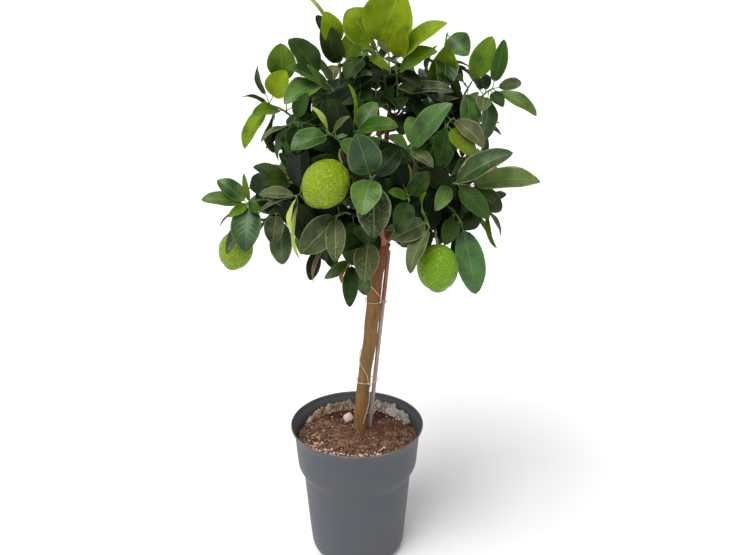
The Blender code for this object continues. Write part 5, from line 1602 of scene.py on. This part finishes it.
@dataclass
class Foliage:
    """Makes leaves: a stalk and a folded, arched blade of upper and lower skin.

    The arch and the hook of the tip are shares of the blade's length. The fold, wave and twist are shares
    of half its width at the place.
    """

    across_steps: int = 4
    along_steps: int = 12
    thickness: float = 0.035
    widest: float = 0.88  # less than 1 puts the widest place nearer the base
    fullness: float = 0.58
    scallop: float = 0.012
    scallop_turns: float = 55.0
    least_half: float = 0.03
    fold: float = 0.34
    fold_power: float = 1.4
    arch: float = 0.07
    hook: float = 0.6
    hook_from: float = 0.72
    wave: float = 0.09
    wave_turns: float = 11.0
    twist: float = 0.16
    wave_step: float = 2.4
    stalk_radius: float = 0.075
    stalk_share: float = 0.55  # of the leaf's length, which a stalk doesn't pass
    tip_found: float = 0.0004  # how near a corner of the solid is to a tip that it kept, in metres
    young_wood: GreenWoodFinish = GreenWoodFinish("young_wood", paint(96, 128, 44), paint(58, 88, 34))
    made: int = field(default=0, init=False)

    def blade(self, piece: Piece, base: Vector, leaf: Leaf, tip: Vector) -> None:
        """Adds a leaf.

        Args:
            piece: where the leaf goes.
            base: where its stalk leaves the twig, in cm.
            leaf: its width, face, age and stalk.
            tip: its tip, in cm.
        """
        self.made += 1
        tint = (self.made * GOLDEN) % 1.0
        wave = (self.made * self.wave_step) % math.tau
        length, axis, across, out = leaf_frame(base, tip, leaf.face)
        stalk = min(leaf.stalk, self.stalk_share * length)
        blade = length - stalk
        upper, under = (piece.slot(material) for material in leaf_materials(leaf.age.value))
        verts = bmesh.ops.create_grid(
            piece.bm, x_segments=self.across_steps, y_segments=self.along_steps, size=0.5
        )["verts"]
        faces = {face for vert in verts for face in vert.link_faces}
        for vert in verts:
            side, step = 2 * vert.co.x, vert.co.y + 0.5
            grown = 0.45 * step + 0.55 * (1 - math.cos(math.pi * step)) / 2
            for loop in vert.link_loops:
                loop[piece.blade].uv = ((side + 1) / 2, grown)
            outline = max(0.0, math.sin(math.pi * grown**self.widest)) ** self.fullness
            scallops = 1 + self.scallop * math.sin(self.scallop_turns * grown)
            half = max(leaf.width / 2 * outline * scallops, self.least_half)
            edge = abs(side) ** self.fold_power
            rise = (
                self.fold * half * edge
                + self.arch * blade * math.sin(math.pi * grown)
                - self.hook * blade * max(0.0, grown - self.hook_from) ** 2
                + self.wave * half * edge * math.sin(self.wave_turns * grown + wave + 1.6 * side)
            )
            twist = self.twist * math.sin(wave) * grown * half * side
            middle = base + axis * (stalk + blade * grown)
            vert.co = cm(middle + across * (half * side) + out * (rise + twist))
            vert[piece.tint] = tint
        for face in faces:
            face.material_index = upper
            face.normal_update()
        for vert in verts:
            vert.normal_update()
        skin = bmesh.ops.solidify(piece.bm, geom=list(faces), thickness=self.thickness * CM)["geom"]
        for item in skin:
            if isinstance(item, bmesh.types.BMFace):
                item.material_index = under
        droop = base + axis * (stalk * 0.5) - out * (0.06 * stalk)
        end = base + axis * (stalk + 0.15 * blade)
        route = smooth_route([base, droop, base + axis * stalk, end], 2)
        piece.tube(route, taper(self.stalk_radius, self.stalk_radius * 0.6), 6, self.young_wood)

    def settled_tip(self, leaf: Leaf, base: Vector, corners: KDTree) -> Vector | None:
        """Where the solid's leaf has its tip: the plan's tip or one of the small shifts from it."""
        planned = Vector(leaf.tip)
        _, _, across, out = leaf_frame(base, planned, leaf.face)
        for towards, sideways in SHIFTS:
            tip = planned + out * towards + across * sideways
            if corners.find(cm(tip))[2] < self.tip_found:
                return tip
        return None


@dataclass
class Crown:
    """The leafy shoots, and the small shaded leaves on the spurs that carry them."""

    foliage: Foliage = field(default_factory=Foliage)
    twig_radii: tuple[float, float] = (0.16, 0.1)
    last_place: float = 0.97  # no leaf leaves its twig further along
    spur_leaf_length: float = 6.2
    spur_leaf_width: float = 3.0
    spur_places: tuple[float, ...] = (0.35, 0.55, 0.75, 0.95)
    inside: float = 17.0
    lowest: float = 49.0

    def build(self, shoots: dict[str, Shoot], nodes: dict[str, bpy.types.Object]) -> None:
        """Adds a piece for each shoot, then the shaded leaves of each limb."""
        lost = 0
        for name, shoot in shoots.items():
            lost += self._shoot(name, shoot, nodes["shoot_" + name])
        LOG.info("leaves of the plan without room: %d", lost)
        for limb in LIMBS:
            self._spur_leaves(limb, {name: shoot for name, shoot in shoots.items() if shoot.limb == limb})

    def _shoot(self, name: str, shoot: Shoot, node: bpy.types.Object) -> int:
        """Adds a twig with its leaves and returns how many leaves its solid has no room for."""
        corners = KDTree(len(node.data.vertices))
        for index, vert in enumerate(node.data.vertices):
            corners.insert(vert.co, index)
        corners.balance()
        piece = Piece("leafy_" + name)
        twig = twig_route(shoot.root, shoot.tip, 6)
        piece.tube(twig, taper(*self.twig_radii), 8, self.foliage.young_wood)
        route = twig_route(shoot.root, shoot.tip)
        lost = 0
        for leaf in shoot.leaves:
            base = along_route(route, min(leaf.at, self.last_place))
            tip = self.foliage.settled_tip(leaf, base, corners)
            if tip is None:
                lost += 1
            else:
                self.foliage.blade(piece, base, leaf, tip)
        piece.finish(["shoot_" + name], "leaf")
        return lost

    def _spur_leaves(self, limb: str, shoots: dict[str, Shoot]) -> None:
        """Adds the shaded leaves on one limb's spurs, where they stay inside the crown."""
        piece = Piece("shaded_leaves_" + limb)
        count = 0
        for shoot in shoots.values():
            path = shoot_spur(shoot)
            for index, at in enumerate(self.spur_places):
                base = along_route(path, at)
                outward = (base - CROWN_MIDDLE).normalized()
                turn = Matrix.Rotation(index * SPIRAL_STEP + base.x, 3, outward)
                heading = outward * 0.35 + turn @ outward.orthogonal().normalized() - UP * 0.15
                size = 0.85 + 0.3 * ((index * GOLDEN + base.y) % 1.0)
                tip = base + heading.normalized() * self.spur_leaf_length * size
                if (tip - CROWN_MIDDLE).length > self.inside or tip.z < self.lowest or hides_fork(tip):
                    continue
                face = outward + UP * 0.5
                # Most of them wear SHADED, a painted shade; the others are dark.
                age = Age.SHADED if (index + count) % 3 else Age.DARK
                leaf = Leaf(at, tuple(tip), self.spur_leaf_width, tuple(face), age, 0.9)
                self.foliage.blade(piece, base, leaf, tip)
                count += 1
        if count:
            piece.finish([], "leaf")


@dataclass
class Fruit:
    """Makes limes: a lumpy fruit with a ribbed neck, a green star under its stalk and a nipple below."""

    rings: int = 40
    sides: int = 56
    rind: RindFinish = RindFinish("lime_rind", paint(94, 142, 0), paint(122, 144, 0), paint(166, 182, 44))
    star: GreenWoodFinish = GreenWoodFinish("lime_star", paint(84, 104, 44), paint(110, 98, 58))
    stalk_radii: tuple[float, float] = (0.14, 0.19)
    lumps: Layers = ((0.02, 1.2, 0.0), (0.008, 0.35, 0.0))
    neck_ribs: int = 8
    star_points: int = 5
    star_reach: float = 0.42

    def build(self, name: str, lime: LimePlan, ripeness: float) -> None:
        """Adds one lime with its stalk."""
        piece = Piece("ripe_" + name)
        down = (Vector(lime.lower) - Vector(lime.middle)).normalized()
        turn = (-UP).rotation_difference(down).to_matrix()
        verts = bmesh.ops.create_uvsphere(
            piece.bm, u_segments=self.sides, v_segments=self.rings, radius=0.5
        )["verts"]
        for vert in verts:
            place = -2 * vert.co.z  # -1 at the stalk and 1 at the lower end
            angle = math.atan2(vert.co.y, vert.co.x)
            narrow = 1.0 + 0.04 * place if place < 0 else 1.0 - 0.03 * place
            ribs = 0.05 * math.cos(self.neck_ribs * angle + 0.8 * math.sin(2 * angle))
            ribs = ribs * max(0.0, -place - 0.35) * math.sqrt(max(0.0, 1 - place**2))
            lumps = bumpy(vert.co * 0.05 + cm(lime.middle), self.lumps)
            groove = 0.03 * math.exp(-(((place - 0.84) / 0.05) ** 2))
            nipple = 0.05 * max(0.0, (place - 0.86) / 0.14) ** 1.5 - groove
            dent = 0.04 * math.exp(-(((place + 1.0) / 0.05) ** 2))
            wide = lime.width * 0.97 * (narrow + ribs + lumps)
            high = lime.length * (1 + nipple - dent)
            shaped = Vector((vert.co.x * wide, vert.co.y * wide, vert.co.z * high))
            vert[piece.reach] = (place + 1) / 2
            vert[piece.tint] = ripeness
            vert.co = cm(turn @ shaped + Vector(lime.middle))
        piece.slot(material_of(self.rind))
        crown = Vector(lime.middle) - down * (lime.length / 2 - 0.12)
        self._star(piece, crown, -down)
        inside = Vector(lime.middle).lerp(Vector(lime.top), 0.4)
        bow = Vector(lime.top).lerp(crown, 0.5)
        stalk = smooth_route([lime.top, bow, crown, inside], 4)
        piece.tube(stalk, taper(*self.stalk_radii), 10, self.star)
        piece.finish([name], "lime_skin", 50.0)

    def _star(self, piece: Piece, centre: Vector, heading: Vector) -> None:
        """Adds the five-pointed star that the stalk stands on."""
        before = len(piece.bm.faces)
        turn = UP.rotation_difference(heading).to_matrix()
        verts = bmesh.ops.create_uvsphere(piece.bm, u_segments=30, v_segments=8, radius=1.0)["verts"]
        for vert in verts:
            angle = math.atan2(vert.co.y, vert.co.x)
            reach = self.star_reach * (0.72 + 0.28 * math.cos(self.star_points * angle))
            height = vert.co.z * 0.1 - 0.12 * vert.co.xy.length_squared
            flat = Vector((vert.co.x * reach, vert.co.y * reach, height))
            vert.co = cm(turn @ flat + centre)
        piece.paint_new(before, self.star)


# ------------------------------------------------------------------------------------------
# The studio
# ------------------------------------------------------------------------------------------


@dataclass
class Studio:
    """A wide white floor, a bright horizon under a dimmer sky, a soft light from the left, and the camera."""

    floor_size: float = 60.0
    floor_colour: Colour = (0.9, 0.9, 0.9)
    sensor: float = 36.0
    lens: float = 34.0
    camera: Point = (0.0195, -0.945, 0.747)
    pitch: float = 17.8
    horizon: float = 1.15
    sky: float = 0.5
    fade_from: float = 0.16
    fade_to: float = 0.5
    key_strength: float = 2.9
    key_spread: float = 42.0
    key_from: Point = (-0.4, -0.5, 1.0)

    def build(self) -> None:
        """Adds the floor, the sky, the light and the camera."""
        self._floor()
        self._sky()
        lamp = bpy.data.lights.new("key", "SUN")
        lamp.energy = self.key_strength
        lamp.angle = math.radians(self.key_spread)
        key = add_object("key", lamp)
        key.rotation_euler = Vector(self.key_from).to_track_quat("Z", "Y").to_euler()
        lens = bpy.data.cameras.new("camera")
        lens.lens = self.lens
        lens.sensor_width = self.sensor
        camera = add_object("camera", lens)
        camera.location = self.camera
        camera.rotation_euler = (math.radians(90.0 - self.pitch), 0.0, 0.0)
        bpy.context.scene.camera = camera
        bpy.context.scene.view_settings.view_transform = "Standard"

    def _floor(self) -> None:
        """Adds a wide pale floor."""
        bm = bmesh.new()
        bmesh.ops.create_grid(bm, x_segments=1, y_segments=1, size=self.floor_size)
        mesh = mesh_of(bm, "floor")
        mesh.materials.append(Dress("floor").finish(self.floor_colour, 0.9, Specular_IOR_Level=0.1))
        floor = add_object("floor", mesh)

    def _sky(self) -> None:
        """Makes the sky bright round the horizon and dimmer overhead."""
        world = bpy.data.worlds.new("studio")
        world.use_nodes = True
        nodes, links = world.node_tree.nodes, world.node_tree.links
        direction = nodes.new("ShaderNodeTexCoord").outputs["Generated"]
        split = nodes.new("ShaderNodeSeparateXYZ")
        links.new(direction, split.inputs[0])
        fade = nodes.new("ShaderNodeMapRange")
        fade.interpolation_type = "SMOOTHSTEP"
        for socket, value in enumerate((self.fade_from, self.fade_to, self.horizon, self.sky), 1):
            fade.inputs[socket].default_value = value
        links.new(split.outputs[2], fade.inputs[0])
        links.new(fade.outputs[0], nodes["Background"].inputs["Strength"])
        nodes["Background"].inputs["Color"].default_value = (1.0, 1.0, 1.0, 1.0)
        bpy.context.scene.world = world


def main() -> None:
    """Builds the plant round its solids."""
    logging.basicConfig(level=logging.INFO, format="%(name)s: %(message)s")
    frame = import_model()
    shoots = all_shoots()
    Studio().build()
    Pot().build()
    Soil().build()
    Crust("root_crust_right", 24.0, 76.0, 0.9, 2.0, GREY_CRUST).build()
    Crust("root_crust_left", 92.0, 154.0, 1.8, 0.8, TAN_CRUST).build()
    Pebble().build()
    Cane().build()
    Twine().build(STRING_ROUTE)
    Wood().build(shoots)
    fruit = Fruit()
    for (name, lime), ripeness in zip(LIMES.items(), RIPENESS):
        fruit.build(name, lime, ripeness)
    Crown().build(shoots, frame["nodes"])


if __name__ == "__main__":
    main()
